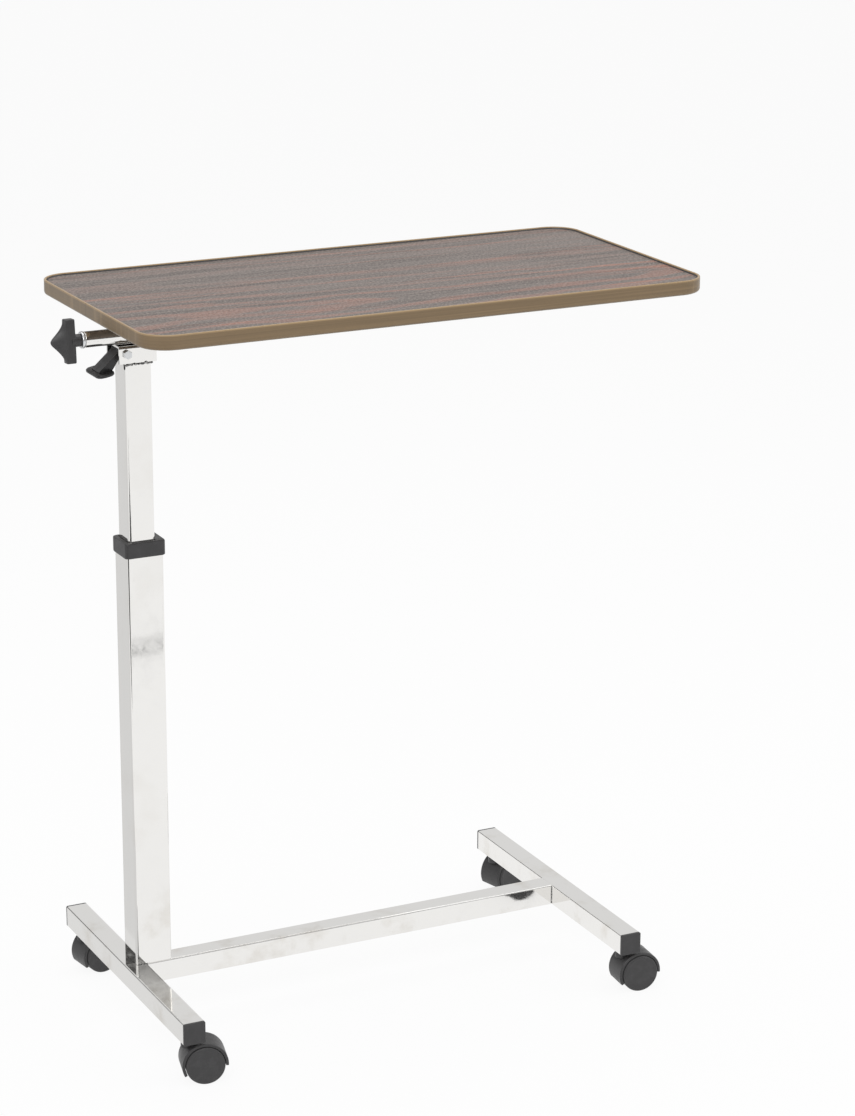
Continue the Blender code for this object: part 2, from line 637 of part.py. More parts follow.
def knob_outline():
    """Two-winged bar seen along the knob's axis: wings along X, waisted sides, rounded corners."""
    reach = KNOB_RADIUS - KNOB_CORNER
    inner = KNOB_WING - KNOB_CORNER
    side = []
    for i in range(1, KNOB_SIDE_STEPS):
        share = 1 - 2 * i / KNOB_SIDE_STEPS
        side.append((reach * share, KNOB_WAIST + (KNOB_WING - KNOB_WAIST) * share ** 2))
    outline = arc((reach, inner), KNOB_CORNER, 0, 90, CORNER_STEPS) + side
    outline += arc((-reach, inner), KNOB_CORNER, 90, 180, CORNER_STEPS)
    outline += arc((-reach, -inner), KNOB_CORNER, 180, 270, CORNER_STEPS)
    outline += [(-x, -y) for x, y in side]
    return outline + arc((reach, -inner), KNOB_CORNER, 270, 360, CORNER_STEPS)


def tilt_knob():
    """Winged knob with a hollow-sided cone, its neck's end at z = 0 and its tip along +Z."""
    back = KNOB_NECK
    front = back + KNOB_BAND
    tip = front + KNOB_CONE
    profile = [(0, tip), (KNOB_TIP * TIP_FLAT, tip - KNOB_TIP * TIP_EASE)]
    for i in range(KNOB_CONE_STEPS, -1, -1):
        share = i / KNOB_CONE_STEPS
        radius = KNOB_TIP + (KNOB_RADIUS + FIT - KNOB_TIP) * (1 - share) ** KNOB_HOLLOW
        profile.append((radius, front + (KNOB_CONE - KNOB_TIP) * share))
    profile += [(KNOB_RADIUS + FIT, back), (0, back)]
    wings = combined(turned(profile, FINE_STEPS), "INTERSECT", [plate([knob_outline()], 4 * tip)])
    neck = moved(cylinder(KNOB_NECK_RADIUS, back + KNOB_BAND / 2), shift(z=(back + KNOB_BAND / 2) / 2))
    bore = cylinder(CLAMP_ROD_RADIUS + FIT, 2 * KNOB_BORE, PIN_STEPS)
    return combined(combined(wings, "UNION", [neck]), "DIFFERENCE", [bore])


def top_saddle():
    """Bracket under the top whose eye turns on the tilt tube; the tilt axis is X."""
    eye = TILT_TUBE_RADIUS + SLIDE
    neck = eye + SADDLE_WALL
    face = SADDLE_HEIGHT - FIT
    half = SADDLE_FLANGE / 2
    outline = [(neck, 0), (neck, face - SADDLE_PLATE), (half, face - SADDLE_PLATE), (half, face)]
    outline += [(-half, face), (-half, face - SADDLE_PLATE), (-neck, face - SADDLE_PLATE)]
    outline += arc((0, 0), neck, 180, 360, ROUND_STEPS // 2)[:-1]
    return moved(plate([outline, circle(eye)], SADDLE_LENGTH), PROFILE_X)


def top_outline(inset):
    """Outline of the top, drawn in by an inset."""
    length = TOP_LENGTH - 2 * inset
    depth = TOP_DEPTH - 2 * inset
    return rounded_rectangle(length, depth, TOP_CORNER - inset, TOP_CORNER_STEPS)


def table_panel():
    """Core board with a groove round its edge, its underside at z = 0."""
    edge = EDGE_WALL + FIT
    groove = EDGE_WALL + TONGUE_DEPTH + FIT
    low = TONGUE_UP - FIT
    high = TONGUE_UP + TONGUE_HEIGHT + FIT
    levels = [(edge, 0), (edge, low), (groove, low), (groove, high), (edge, high), (edge, PANEL_THICKNESS)]
    return loft([at_height(top_outline(inset), z) for inset, z in levels])


def edge_moulding():
    """Moulding round the panel: rounded wall, raised lip and tongue, its underside at z = 0."""
    ease = EDGE_ROUNDING
    shoulder = PANEL_THICKNESS + 2 * FIT + LAMINATE
    tongue = EDGE_WALL + TONGUE_DEPTH
    section = [(ease, 0), (ease * EDGE_EASE, ease * EDGE_EASE), (0, ease), (0, EDGE_HEIGHT - ease),
               (ease * EDGE_EASE, EDGE_HEIGHT - ease * EDGE_EASE), (ease, EDGE_HEIGHT),
               (EDGE_LIP - ease / 2, EDGE_HEIGHT), (EDGE_LIP, EDGE_HEIGHT - ease / 2),
               (EDGE_LIP, shoulder), (EDGE_WALL, shoulder), (EDGE_WALL, TONGUE_UP + TONGUE_HEIGHT),
               (tongue, TONGUE_UP + TONGUE_HEIGHT), (tongue, TONGUE_UP), (EDGE_WALL, TONGUE_UP),
               (EDGE_WALL, 0)]
    return loft([at_height(top_outline(inset), z) for inset, z in section], ring=True)


def set_up():
    """Empty scene, the two collections and the materials."""
    for old in list(bpy.data.objects):
        bpy.data.objects.remove(old)
    for name in ("overbed_table", "cutters"):
        group = bpy.data.collections.new(name)
        bpy.context.scene.collection.children.link(group)
    material("chrome", (0.78, 0.77, 0.75), 0.12, 1.0)
    material("zinc_steel", (0.70, 0.71, 0.72), 0.30, 1.0)
    material("black_plastic", (0.045, 0.045, 0.047), 0.45, 0.0)
    material("black_casting", (0.045, 0.045, 0.047), 0.45, 0.0)
    material("wheel_plastic", (0.055, 0.055, 0.057), 0.50, 0.0)
    material("guide_plastic", (0.62, 0.62, 0.60), 0.50, 0.0)
    material("core_board", (0.40, 0.30, 0.20), 0.80, 0.0)
    material("walnut_laminate", (0.19, 0.13, 0.11), 0.40, 0.0)
    material("edge_vinyl", (0.21, 0.15, 0.08), 0.45, 0.0)


def build_base(origin):
    """Feet, rail, end caps, outer column and collar."""
    foot = foot_tube()
    cap = foot_cap()
    for side, x in FOOT_X.items():
        piece(f"{side}_foot_tube", foot.copy(), "chrome", origin, (x, 0, FOOT_MIDDLE))
        for end, way in (("front", -1), ("rear", 1)):
            place = (x, way * (FOOT_LENGTH / 2 + FIT), FOOT_MIDDLE)
            body = piece(f"foot_cap_{end}_{side}", cap.copy(), "black_plastic", origin, place)
            body.rotation_euler.x = way * math.pi / 2
    rail_length = BASE_LENGTH - 2 * BASE_TUBE - 2 * FIT
    rail = plate(tube_section(BASE_TUBE, BASE_TUBE, BASE_WALL, BASE_CORNER), rail_length)
    piece("base_rail", moved(rail, PROFILE_X), "chrome", origin, (BASE_LENGTH / 2, 0, FOOT_MIDDLE))
    column = plate(tube_section(OUTER_X, OUTER_Y, OUTER_WALL, OUTER_CORNER), OUTER_LENGTH)
    piece("outer_column", column, "chrome", origin, (COLUMN_X, COLUMN_Y, COLUMN_BOTTOM + OUTER_LENGTH / 2))
    piece("column_collar", column_collar(), "black_plastic", origin, (COLUMN_X, COLUMN_Y, COLLAR_TOP))


def build_casters(origin):
    """Four swivelling twin-wheel casters and the sockets that hold their stems."""
    hood, stem, socket, axle = caster_hood(), caster_stem(), caster_socket(), caster_axle()
    wheels = {"inner": caster_wheel(1), "outer": caster_wheel(-1)}
    for spot, turn in CASTER_TURNS.items():
        end, side = spot.split("_")
        way = -1 if end == "front" else 1
        place = (FOOT_X[side], way * (FOOT_LENGTH / 2 - CASTER_INSET), 0)
        piece(f"caster_socket_{spot}", socket.copy(), "zinc_steel", origin, place)
        swivel = empty(f"swivel_{spot}", place, origin, turn)
        piece(f"caster_hood_{spot}", hood.copy(), "black_plastic", swivel)
        piece(f"caster_stem_{spot}", stem.copy(), "zinc_steel", swivel)
        centre = (CASTER_TRAIL, 0, WHEEL_RADIUS)
        piece(f"caster_axle_{spot}", axle.copy(), "zinc_steel", swivel, centre)
        for face, wheel in wheels.items():
            piece(f"caster_wheel_{spot}_{face}", wheel.copy(), "wheel_plastic", swivel, centre)


def build_column(lift):
    """Inner column, its guide and brake, the head bracket and the release lever."""
    inner = plate(tube_section(INNER_X, INNER_Y, INNER_WALL, INNER_CORNER), INNER_LENGTH)
    piece("inner_column", inner, "chrome", lift, (INNER_MIDDLE, COLUMN_Y, (INNER_TOP + INNER_BOTTOM) / 2))
    piece("lower_guide", lower_guide(), "guide_plastic", lift)
    piece("head_bracket", head_bracket(), "chrome", lift)
    piece("lever_pivot_bolt", pivot_bolt(), "zinc_steel", lift, PIVOT)
    piece("lever_pivot_nut", pivot_nut(), "zinc_steel", lift, PIVOT)
    piece("release_lever", release_lever(), "black_casting", lift, PIVOT)
    rod_axis = empty("rod_axis", (INNER_MIDDLE, COLUMN_Y, 0), lift)
    piece("release_rod", release_rod(), "zinc_steel", rod_axis)
    piece("return_spring", return_spring(), "zinc_steel", rod_axis)
    piece("brake_wedge", brake_wedge(), "zinc_steel", lift)


def build_head(tilt):
    """Tilt tube, clamp rod and knob, with the tilt axis along the empty's X."""
    tube = plate([circle(TILT_TUBE_RADIUS), circle(TILT_TUBE_RADIUS - TILT_TUBE_WALL)], TILT_TUBE_LENGTH)
    piece("tilt_tube", moved(tube, PROFILE_X), "chrome", tilt, (TUBE_START + TILT_TUBE_LENGTH / 2, 0, 0))
    hole = circle(CLAMP_ROD_RADIUS + FIT)
    washer = plate([circle(WASHER_RADIUS), hole], WASHER_HEIGHT)
    washer_middle = WASHER_START - WASHER_HEIGHT / 2
    piece("tube_end_washer", moved(washer, PROFILE_X), "zinc_steel", tilt, (washer_middle, 0, 0))
    lean = Matrix.Rotation(math.radians(KNOB_LEAN), 4, "Z")
    knob = moved(tilt_knob(), lean, Matrix.Rotation(-math.pi / 2, 4, "Y"))
    piece("tilt_knob", knob, "black_plastic", tilt, (KNOB_NECK_START, 0, 0))
    disc = plate([circle(CLAMP_DISC_RADIUS), hole], CLAMP_DISC_HEIGHT)
    disc_middle = CLAMP_DISC_START + CLAMP_DISC_HEIGHT / 2
    piece("clamp_disc", moved(disc, PROFILE_X), "zinc_steel", tilt, (disc_middle, 0, 0))
    nut = plate([circle(CLAMP_NUT_RADIUS, 6), hole], CLAMP_NUT_HEIGHT)
    nut_middle = CLAMP_NUT_START + CLAMP_NUT_HEIGHT / 2
    piece("clamp_nut", moved(nut, PROFILE_X), "zinc_steel", tilt, (nut_middle, 0, 0))
    start = KNOB_NECK_START - KNOB_BORE + FIT
    end = CLAMP_NUT_START + CLAMP_NUT_HEIGHT + CLAMP_ROD_END
    rod = cylinder(CLAMP_ROD_RADIUS, end - start, PIN_STEPS)
    piece("clamp_rod", moved(rod, PROFILE_X), "zinc_steel", tilt, ((start + end) / 2, 0, 0))


def build_top(tilt):
    """Saddles, panel, laminate and edge moulding, carried by the tilt axis."""
    saddle = top_saddle()
    near = BRACKET_START + BRACKET_LENGTH + SADDLE_GAP + SADDLE_LENGTH / 2
    far = FAR_SADDLE_END - SADDLE_LENGTH / 2
    piece("top_saddle_near", saddle.copy(), "zinc_steel", tilt, (near, 0, 0))
    piece("top_saddle_far", saddle.copy(), "zinc_steel", tilt, (far, 0, 0))
    under = (TOP_MIDDLE, 0, SADDLE_HEIGHT)
    piece("table_panel", table_panel(), "core_board", tilt, under)
    sheet = plate([top_outline(EDGE_LIP + FIT)], LAMINATE)
    above = (TOP_MIDDLE, 0, SADDLE_HEIGHT + PANEL_THICKNESS + FIT + LAMINATE / 2)
    piece("table_laminate", sheet, "walnut_laminate", tilt, above)
    piece("edge_moulding", edge_moulding(), "edge_vinyl", tilt, under)


def main():
    """Build the whole table."""
    set_up()
    origin = empty("table_origin", (-ORIGIN_X, 0, 0))
    build_base(origin)
    build_casters(origin)
    lift = empty("column_lift", (0, 0, 0), origin)
    build_column(lift)
    tilt = empty("tilt_axis", (0, 0, TILT_AXIS), lift)
    build_head(tilt)
    build_top(tilt)
    bpy.context.view_layer.update()


main()
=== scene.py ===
"""Finishes and fine shapes of the overbed table, laid out as an add-on and run as a script.

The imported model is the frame: every piece here is placed from its boxes, in metres, +Z up.
"""
import json
import math

import bmesh
import bpy
from bmesh.types import BMEdge, BMFace, BMVert
from bpy.props import FloatProperty, FloatVectorProperty, IntProperty, PointerProperty
from mathutils import Matrix, Vector, noise


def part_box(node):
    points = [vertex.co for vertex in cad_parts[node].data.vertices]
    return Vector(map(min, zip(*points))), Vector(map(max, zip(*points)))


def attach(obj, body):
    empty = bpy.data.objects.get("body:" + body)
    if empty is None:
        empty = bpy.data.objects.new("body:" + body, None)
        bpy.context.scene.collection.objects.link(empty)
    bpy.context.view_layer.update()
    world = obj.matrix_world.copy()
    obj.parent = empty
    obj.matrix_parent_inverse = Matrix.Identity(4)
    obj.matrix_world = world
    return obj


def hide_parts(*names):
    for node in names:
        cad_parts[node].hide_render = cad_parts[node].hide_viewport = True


bl_info = {
    "name": "Overbed Table",
    "version": (1, 0, 0),
    "blender": (4, 5, 0),
    "location": "View3D > Sidebar > Overbed Table",
    "description": "Builds the finished surfaces of a tilting overbed table around its packed frame",
    "category": "Object",
}

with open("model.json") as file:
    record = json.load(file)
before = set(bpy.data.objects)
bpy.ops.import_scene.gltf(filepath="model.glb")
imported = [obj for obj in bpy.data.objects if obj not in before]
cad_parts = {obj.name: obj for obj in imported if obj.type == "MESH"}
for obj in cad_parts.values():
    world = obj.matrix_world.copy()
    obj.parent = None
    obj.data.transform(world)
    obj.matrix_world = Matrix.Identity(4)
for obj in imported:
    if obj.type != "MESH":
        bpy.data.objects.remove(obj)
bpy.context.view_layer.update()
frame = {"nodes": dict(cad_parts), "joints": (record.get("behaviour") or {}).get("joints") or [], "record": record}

SPOTS = ("front_left", "rear_left", "front_right", "rear_right")
ALONG_X = Matrix.Rotation(math.pi / 2, 4, "Y")
ALONG_Y = Matrix.Rotation(-math.pi / 2, 4, "X")
SMOOTH_ANGLE = math.radians(32)
WELD_DISTANCE = 0.00001
ALIGNED = 0.9  # cosine above which a direction counts as along an axis
IMAGE_WIDTH = 855

# Soft lights: place, side and power; all of them face the middle of the table
LIT_POINT = (0, 0, 0.6)
LAMPS = {"key_light": ((-1.9, -2.6, 3.0), 2.6, 60),
         "fill_light": ((2.8, -1.6, 2.2), 2.4, 26),
         "top_light": ((0.2, 0.6, 3.6), 2.8, 40)}

# Cards that the bright metal mirrors: place, sides, lean in degrees and grey
CARDS = {"front_flag": ((0, -5.2, 1.8), (14, 1.6), 90, 0.03),
         "side_flag": ((-1.25, -1.75, 0.004), (1.6, 1.1), 0, 0.03),
         "gap_flag": ((0.42, -1.43, 0.004), (0.8, 0.035), 0, 0.10),
         "grey_flag": ((-3.47, 2.7, 0.003), (6.1, 6.6), 0, 0.73),
         "foot_flag": ((-0.385, 0.30, 0.003), (0.07, 1.4), 0, 0.80),
         "left_flag": ((-3.6, 5.0, 1.75), (4.8, 1.7), 90, 0.06)}


def joint_named(name):
    """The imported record's joint of that name."""
    return next(joint for joint in frame["joints"] if joint["name"] == name)


def size(label, default, about):
    """Length property in metres."""
    return FloatProperty(name=label, description=about, default=default, min=0.0, unit="LENGTH", precision=5)


def colour(label, default, about):
    """Linear colour property."""
    return FloatVectorProperty(name=label, description=about, default=default, size=3, min=0.0, max=1.0,
                               subtype="COLOR")


class OverbedSizes(bpy.types.PropertyGroup):
    """Sizes that only the finished surfaces have."""
    column_corner: size("Column corner", 0.0032, "Corner radius of the outer column")
    inner_corner: size("Inner column corner", 0.0046, "Corner radius of the inner column")
    base_corner: size("Base corner", 0.0022, "Corner radius of the feet, the rail and the end caps")
    tube_wall: size("Tube wall", 0.0018, "Wall of the tubes where an end shows")
    small_edge: size("Small edge", 0.0006, "Rounding of moulded and pressed edges")
    top_corner: size("Top corner", 0.038, "Corner radius of the top, seen from above")
    edge_round: size("Moulding round", 0.0042, "Rounding of the edge moulding's lower outer edge")
    lip_width: size("Lip width", 0.0032, "Width of the raised lip above the laminate")
    bead: size("Weld bead", 0.0013, "Radius of the weld beads")
    knob_reach: size("Knob reach", 0.0272, "Knob's axis to the end of a wing")
    knob_waist: size("Knob waist", 0.0068, "Half the knob's width in the middle")
    knob_wing: size("Knob wing", 0.0062, "Half the knob's width at the end of a wing")
    knob_neck: size("Knob neck", 0.0075, "Length of the knob's round neck")
    knob_band: size("Knob band", 0.0122, "Depth of the knob's straight sides")
    knob_tip: size("Knob tip", 0.0042, "How far the knob's tip stands beyond the packed knob")
    knob_lean: FloatProperty(name="Knob lean", description="Turn of the knob's wings from upright",
                             default=math.radians(4.5), subtype="ANGLE")
    turn_steps: IntProperty(name="Turn steps", description="Facets in a full turn of a turned piece",
                            default=64, min=16, max=128)


class OverbedColours(bpy.types.PropertyGroup):
    """Base colours of the finishes."""
    chrome: colour("Chrome", (0.86, 0.85, 0.83), "Bright plate on the tubes")
    smudge: colour("Smudge", (0.70, 0.665, 0.61), "Warm smears on the bright plate")
    zinc: colour("Zinc", (0.76, 0.77, 0.78), "Plated fasteners and hidden steel")
    plastic: colour("Plastic", (0.032, 0.031, 0.032), "Charcoal mouldings")
    wheel: colour("Wheel", (0.038, 0.037, 0.038), "Caster wheels")
    nylon: colour("Nylon", (0.60, 0.60, 0.57), "Lower guide in the column")
    grain_dark: colour("Grain dark", (0.070, 0.056, 0.050), "Darkest lines of the laminate")
    grain_mid: colour("Grain mid", (0.170, 0.146, 0.132), "Grey-brown ground of the laminate")
    grain_red: colour("Grain red", (0.350, 0.150, 0.102), "Reddish streaks of the laminate")
    vinyl: colour("Vinyl", (0.205, 0.140, 0.074), "Edge moulding")
    board: colour("Board", (0.115, 0.082, 0.052), "Cut faces of the board")


class OverbedStage(bpy.types.PropertyGroup):
    """Camera and floor."""
    eye: FloatVectorProperty(name="Eye", description="Camera position", default=(-1.709, -3.617, 1.8227),
                             subtype="TRANSLATION", unit="LENGTH")
    yaw: FloatProperty(name="Yaw", description="Camera turn about Z", default=math.radians(-26.604),
                       subtype="ANGLE")
    pitch: FloatProperty(name="Pitch", description="Camera tilt below level", default=math.radians(-17.128),
                         subtype="ANGLE")
    roll: FloatProperty(name="Roll", description="Camera roll", default=math.radians(0.270), subtype="ANGLE")
    focal: FloatProperty(name="Focal length", default=3245.1, min=100.0,
                         description=f"Focal length in pixels of a {IMAGE_WIDTH} pixel wide image")
    floor_side: size("Floor side", 60.0, "Side of the square floor")


# Shader expressions

class Wire:
    """A shader socket that takes part in sums; each operator adds a Math node."""

    def __init__(self, finish, socket):
        self.finish = finish
        self.socket = socket

    def _sum(self, operation, first, second):
        return self.finish.add("ShaderNodeMath", {"operation": operation}, {0: first, 1: second})

    def __add__(self, other):
        return self._sum("ADD", self, other)

    def __radd__(self, other):
        return self._sum("ADD", other, self)

    def __sub__(self, other):
        return self._sum("SUBTRACT", self, other)

    def __rsub__(self, other):
        return self._sum("SUBTRACT", other, self)

    def __mul__(self, other):
        return self._sum("MULTIPLY", self, other)

    def __rmul__(self, other):
        return self._sum("MULTIPLY", other, self)

    def __pow__(self, other):
        return self._sum("POWER", self, other)


class Finish:
    """One material's node tree, with its Principled shader."""

    def __init__(self, name):
        self.material = bpy.data.materials.new(name)
        self.material.use_nodes = True
        self.tree = self.material.node_tree
        self.shader = self.tree.nodes["Principled BSDF"]
        self.place = self.add("ShaderNodeTexCoord", output="Object")

    def add(self, kind, settings=None, sockets=None, output=0):
        """Node of a kind: settings first, then socket values or links; returns one output."""
        node = self.tree.nodes.new(kind)
        for key, value in (settings or {}).items():
            if key == "stops":
                self._stops(node.color_ramp, value)
            else:
                setattr(node, key, value)
        for key, value in (sockets or {}).items():
            if isinstance(value, Wire):
                self.tree.links.new(value.socket, node.inputs[key])
            else:
                node.inputs[key].default_value = value
        return Wire(self, node.outputs[output])

    @staticmethod
    def _stops(ramp, stops):
        while len(ramp.elements) < len(stops):
            ramp.elements.new(1.0)
        for element, (position, value) in zip(ramp.elements, stops):
            element.position = position
            element.color = (*value, 1)

    def axes(self):
        """The three object coordinates."""
        node = self.add("ShaderNodeSeparateXYZ", sockets={0: self.place}).socket.node
        return [Wire(self, output) for output in node.outputs]

    def point(self, x, y, z):
        """Vector from three values."""
        return self.add("ShaderNodeCombineXYZ", sockets={0: x, 1: y, 2: z})

    def cloud(self, where, scale=1.0, *, detail, rough):
        """Noise from 0 to 1."""
        return self.add("ShaderNodeTexNoise", {"noise_dimensions": "3D"},
                        {"Vector": where, "Scale": scale, "Detail": detail, "Roughness": rough})

    def between(self, value, low, high, start=0.0, end=1.0):
        """Value mapped from low..high to start..end, and held there."""
        sockets = {"Value": value, "From Min": low, "From Max": high, "To Min": start, "To Max": end}
        return self.add("ShaderNodeMapRange", {"interpolation_type": "SMOOTHSTEP"}, sockets)

    def sine(self, value):
        """Sine of a value in radians."""
        return self.add("ShaderNodeMath", {"operation": "SINE"}, {0: value})

    def root(self, value):
        """Square root of a value."""
        return self.add("ShaderNodeMath", {"operation": "SQRT"}, {0: value})

    def mix(self, share, first, second):
        """Colour between two colours."""
        first, second = [c if isinstance(c, Wire) else (*c, 1) for c in (first, second)]
        return self.add("ShaderNodeMix", {"data_type": "RGBA"}, {0: share, 6: first, 7: second}, 2)

    def set(self, **values):
        """Values or links on the Principled shader's sockets."""
        for key, value in values.items():
            socket = self.shader.inputs[key.replace("_", " ").title().replace("Ior", "IOR")]
            if isinstance(value, Wire):
                self.tree.links.new(value.socket, socket)
            else:
                socket.default_value = value

    def bump(self, height, distance, strength):
        """Bump from a height, fed to Normal."""
        self.set(normal=self.add("ShaderNodeBump", sockets={"Height": height, "Distance": distance,
                                                             "Strength": strength}))


def scaled(rgb, factor):
    """Colour made lighter or darker by a factor."""
    return tuple(min(1.0, channel * factor) for channel in rgb)


def chrome_plate(colours):
    """Bright plate with faint warm clouding, smears and a polished unevenness."""
    finish = Finish("chrome_plate")
    cloud = finish.cloud(finish.place, 14, detail=4, rough=0.6)
    smear = finish.cloud(finish.place, 55, detail=3, rough=0.7)
    _, _, height = finish.axes()
    low = finish.between(height, 0.24, 0.09, start=0.22)
    warm = finish.between(cloud, 0.50, 0.74) * low
    tint = finish.mix(warm * 0.75, colours.chrome, colours.smudge)
    finish.set(base_color=tint, metallic=1.0,
               roughness=0.055 + 0.07 * finish.between(smear, 0.42, 0.75) + 0.05 * warm)
    waves = finish.cloud(finish.place, 22, detail=1, rough=0.4)
    finish.bump(waves, distance=0.00016, strength=0.35)
    return finish.material


def zinc_plate(colours):
    """Duller plate on fasteners and inner steel."""
    finish = Finish("zinc_plate")
    grain = finish.cloud(finish.place, 260, detail=3, rough=0.6)
    tone = finish.mix(grain, scaled(colours.zinc, 0.86), scaled(colours.zinc, 1.1))
    finish.set(base_color=tone, metallic=1.0, roughness=0.24 + 0.16 * grain)
    return finish.material


def weld_steel(colours):
    """Plated weld metal, darker in its hollows."""
    finish = Finish("weld_steel")
    ripple = finish.cloud(finish.place, 900, detail=3, rough=0.6)
    crest = finish.between(ripple, 0.46, 0.70)
    tone = finish.mix(crest, scaled(colours.zinc, 0.10), colours.chrome)
    finish.set(base_color=tone, metallic=1.0, roughness=0.2 + 0.2 * ripple)
    finish.bump(ripple, distance=0.0006, strength=0.6)
    return finish.material


def charcoal_moulding(colours):
    """Fine-textured charcoal plastic, slightly dusty and polished by hands."""
    finish = Finish("charcoal_moulding")
    grain = finish.cloud(finish.place, 2600, detail=2, rough=0.5)
    dust = finish.cloud(finish.place, 60, detail=4, rough=0.65)
    tone = finish.mix(finish.between(dust, 0.35, 0.8), colours.plastic, scaled(colours.plastic, 1.45))
    finish.set(base_color=tone, roughness=0.36 + 0.16 * finish.between(dust, 0.3, 0.75),
               specular_ior_level=0.5)
    finish.bump(grain, distance=0.00006, strength=0.5)
    return finish.material


def coated_casting(colours):
    """Charcoal coating on the lever, rubbed smoother where it is gripped."""
    finish = Finish("coated_casting")
    grain = finish.cloud(finish.place, 1900, detail=2, rough=0.5)
    rub = finish.cloud(finish.place, 75, detail=3, rough=0.6)
    tone = finish.mix(rub, scaled(colours.plastic, 0.45), scaled(colours.plastic, 0.8))
    finish.set(base_color=tone, roughness=0.30 + 0.18 * finish.between(rub, 0.3, 0.7),
               specular_ior_level=0.5)
    finish.bump(grain, distance=0.00006, strength=0.5)
    return finish.material


def wheel_moulding(colours):
    """Satin wheel plastic, fine-grained and patchily dusty."""
    finish = Finish("wheel_moulding")
    dust = finish.cloud(finish.place, 90, detail=4, rough=0.6)
    grain = finish.cloud(finish.place, 1500, detail=2, rough=0.5)
    tone = finish.mix(finish.between(dust, 0.4, 0.8), colours.wheel, scaled(colours.wheel, 1.5))
    finish.set(base_color=tone, roughness=0.42 + 0.16 * dust)
    finish.bump(grain, distance=0.00005, strength=0.4)
    return finish.material


def natural_nylon(colours):
    """Slightly mottled nylon."""
    finish = Finish("natural_nylon")
    mottle = finish.cloud(finish.place, 120, detail=3, rough=0.5)
    tone = finish.mix(mottle, scaled(colours.nylon, 0.9), colours.nylon)
    finish.set(base_color=tone, roughness=0.4 + 0.2 * mottle)
    return finish.material


def walnut_laminate(colours):
    """Dark walnut print: flame figure, thin red streaks along the top, fine lines and a mottled sheen."""
    finish = Finish("walnut_print")
    x, y, _ = finish.axes()

    def layer(along, across, detail, rough):
        return finish.cloud(finish.point(along, across, 0.0), detail=detail, rough=rough)

    drift = layer(x * 2.6, y * 8, 3, 0.55)
    wander = layer(x * 5.5 + 7.3, y * 30, 4, 0.6)
    flames = []
    for centre, lean, spacing in ((-0.105, 1.35, 2.3), (0.085, -1.1, 1.7)):
        across = (y - centre) * 30
        arch = finish.root(across * across + 0.35) + x * lean + drift * 2.4 + wander * 0.5
        flames.append(finish.between(finish.sine(arch * (math.pi * spacing)), -0.9, 0.95))
    side = finish.between(y + drift * 0.05, -0.03, 0.06)
    figure = flames[0] * (1 - side) + flames[1] * side
    broad = layer(x * 1.3 + 2.0, y * 24 + drift * 1.6, 4, 0.62)
    streak = layer(x * 1.3 + 5.0, y * 72 + drift * 5, 4, 0.62)
    fine = layer(x * 4, y * 150 + wander * 3, 4, 0.7)
    pores = layer(x * 55, y * 900, 2, 0.5)
    mottle = layer(x * 300, y * 330, 3, 0.7)
    front = finish.between(y, 0.12, -0.12, start=0.25)
    patch = finish.between(figure * 0.45 + broad * 0.7, 0.60, 0.86) * front
    red = finish.between(streak, 0.54, 0.66) * 0.6 + patch * 0.55
    dark = finish.between(fine * 0.75 + broad * 0.25 + (1 - figure) * 0.08, 0.46, 0.74)
    tone = finish.mix(red, colours.grain_mid, colours.grain_red)
    tone = finish.mix(dark * 0.9, tone, colours.grain_dark)
    tone = finish.mix(finish.between(pores, 0.58, 0.74) * 0.5, tone, scaled(colours.grain_dark, 0.7))
    tone = finish.mix(finish.between(mottle, 0.47, 0.66) * 0.62, tone, scaled(colours.grain_mid, 2.1))
    tone = finish.mix(finish.between(mottle, 0.50, 0.34) * 0.62, tone, scaled(colours.grain_dark, 0.8))
    finish.set(base_color=tone, roughness=0.38 + 0.16 * mottle + 0.04 * dark, specular_ior_level=0.2)
    finish.bump(mottle * 0.8 + pores * 0.2, distance=0.0002, strength=0.6)
    return finish.material


def edge_vinyl(colours):
    """Extruded vinyl: lengthwise streaks, a painted highlight along the lip's crest, stress marks at the ends and
    two joints.
    """
    finish = Finish("vinyl_edging")
    x, y, z = finish.axes()
    streak = finish.cloud(finish.point(x * 3, y * 3, z * 700), detail=3, rough=0.6)
    cloud = finish.cloud(finish.point(x * 9, y * 9, z * 60), detail=3, rough=0.6)
    lo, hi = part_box("edge_moulding")
    half = (hi.x - lo.x) / 2
    from_end = finish.between(finish.root((x - (lo.x + hi.x) / 2) ** 2), half - 0.06, half - 0.012)
    stress = finish.cloud(finish.point(x * 130, y * 130, z * 14), detail=2, rough=0.5)
    tone = finish.mix(finish.between(streak, 0.35, 0.7) * 0.5 + cloud * 0.3, scaled(colours.vinyl, 0.78),
                      scaled(colours.vinyl, 1.22))
    tone = finish.mix(finish.between(stress, 0.52, 0.72) * from_end * 0.4, tone, scaled(colours.vinyl, 1.7))
    # Painted highlight: the lip's top is made lighter, standing in for the light that catches it from above
    crest = finish.between(z, hi.z - 0.0026, hi.z - 0.0008)
    tone = finish.mix(crest * 0.6, tone, scaled(colours.vinyl, 2.2))
    at_end = finish.between(x, lo.x + 0.02, lo.x + 0.012)
    seam = 0.0
    for place, strength in ((0.0123, 1.0), (-0.0725, 0.55)):
        away = finish.root((y - place) ** 2)
        seam = seam + finish.between(away, 0.0009, 0.0003) * at_end * strength
    tone = finish.mix(seam * 0.75, tone, scaled(colours.vinyl, 0.35))
    finish.set(base_color=tone, roughness=0.28 + 0.16 * streak, specular_ior_level=0.5)
    finish.bump(streak * 0.2 - seam, distance=0.0003, strength=0.4)
    return finish.material


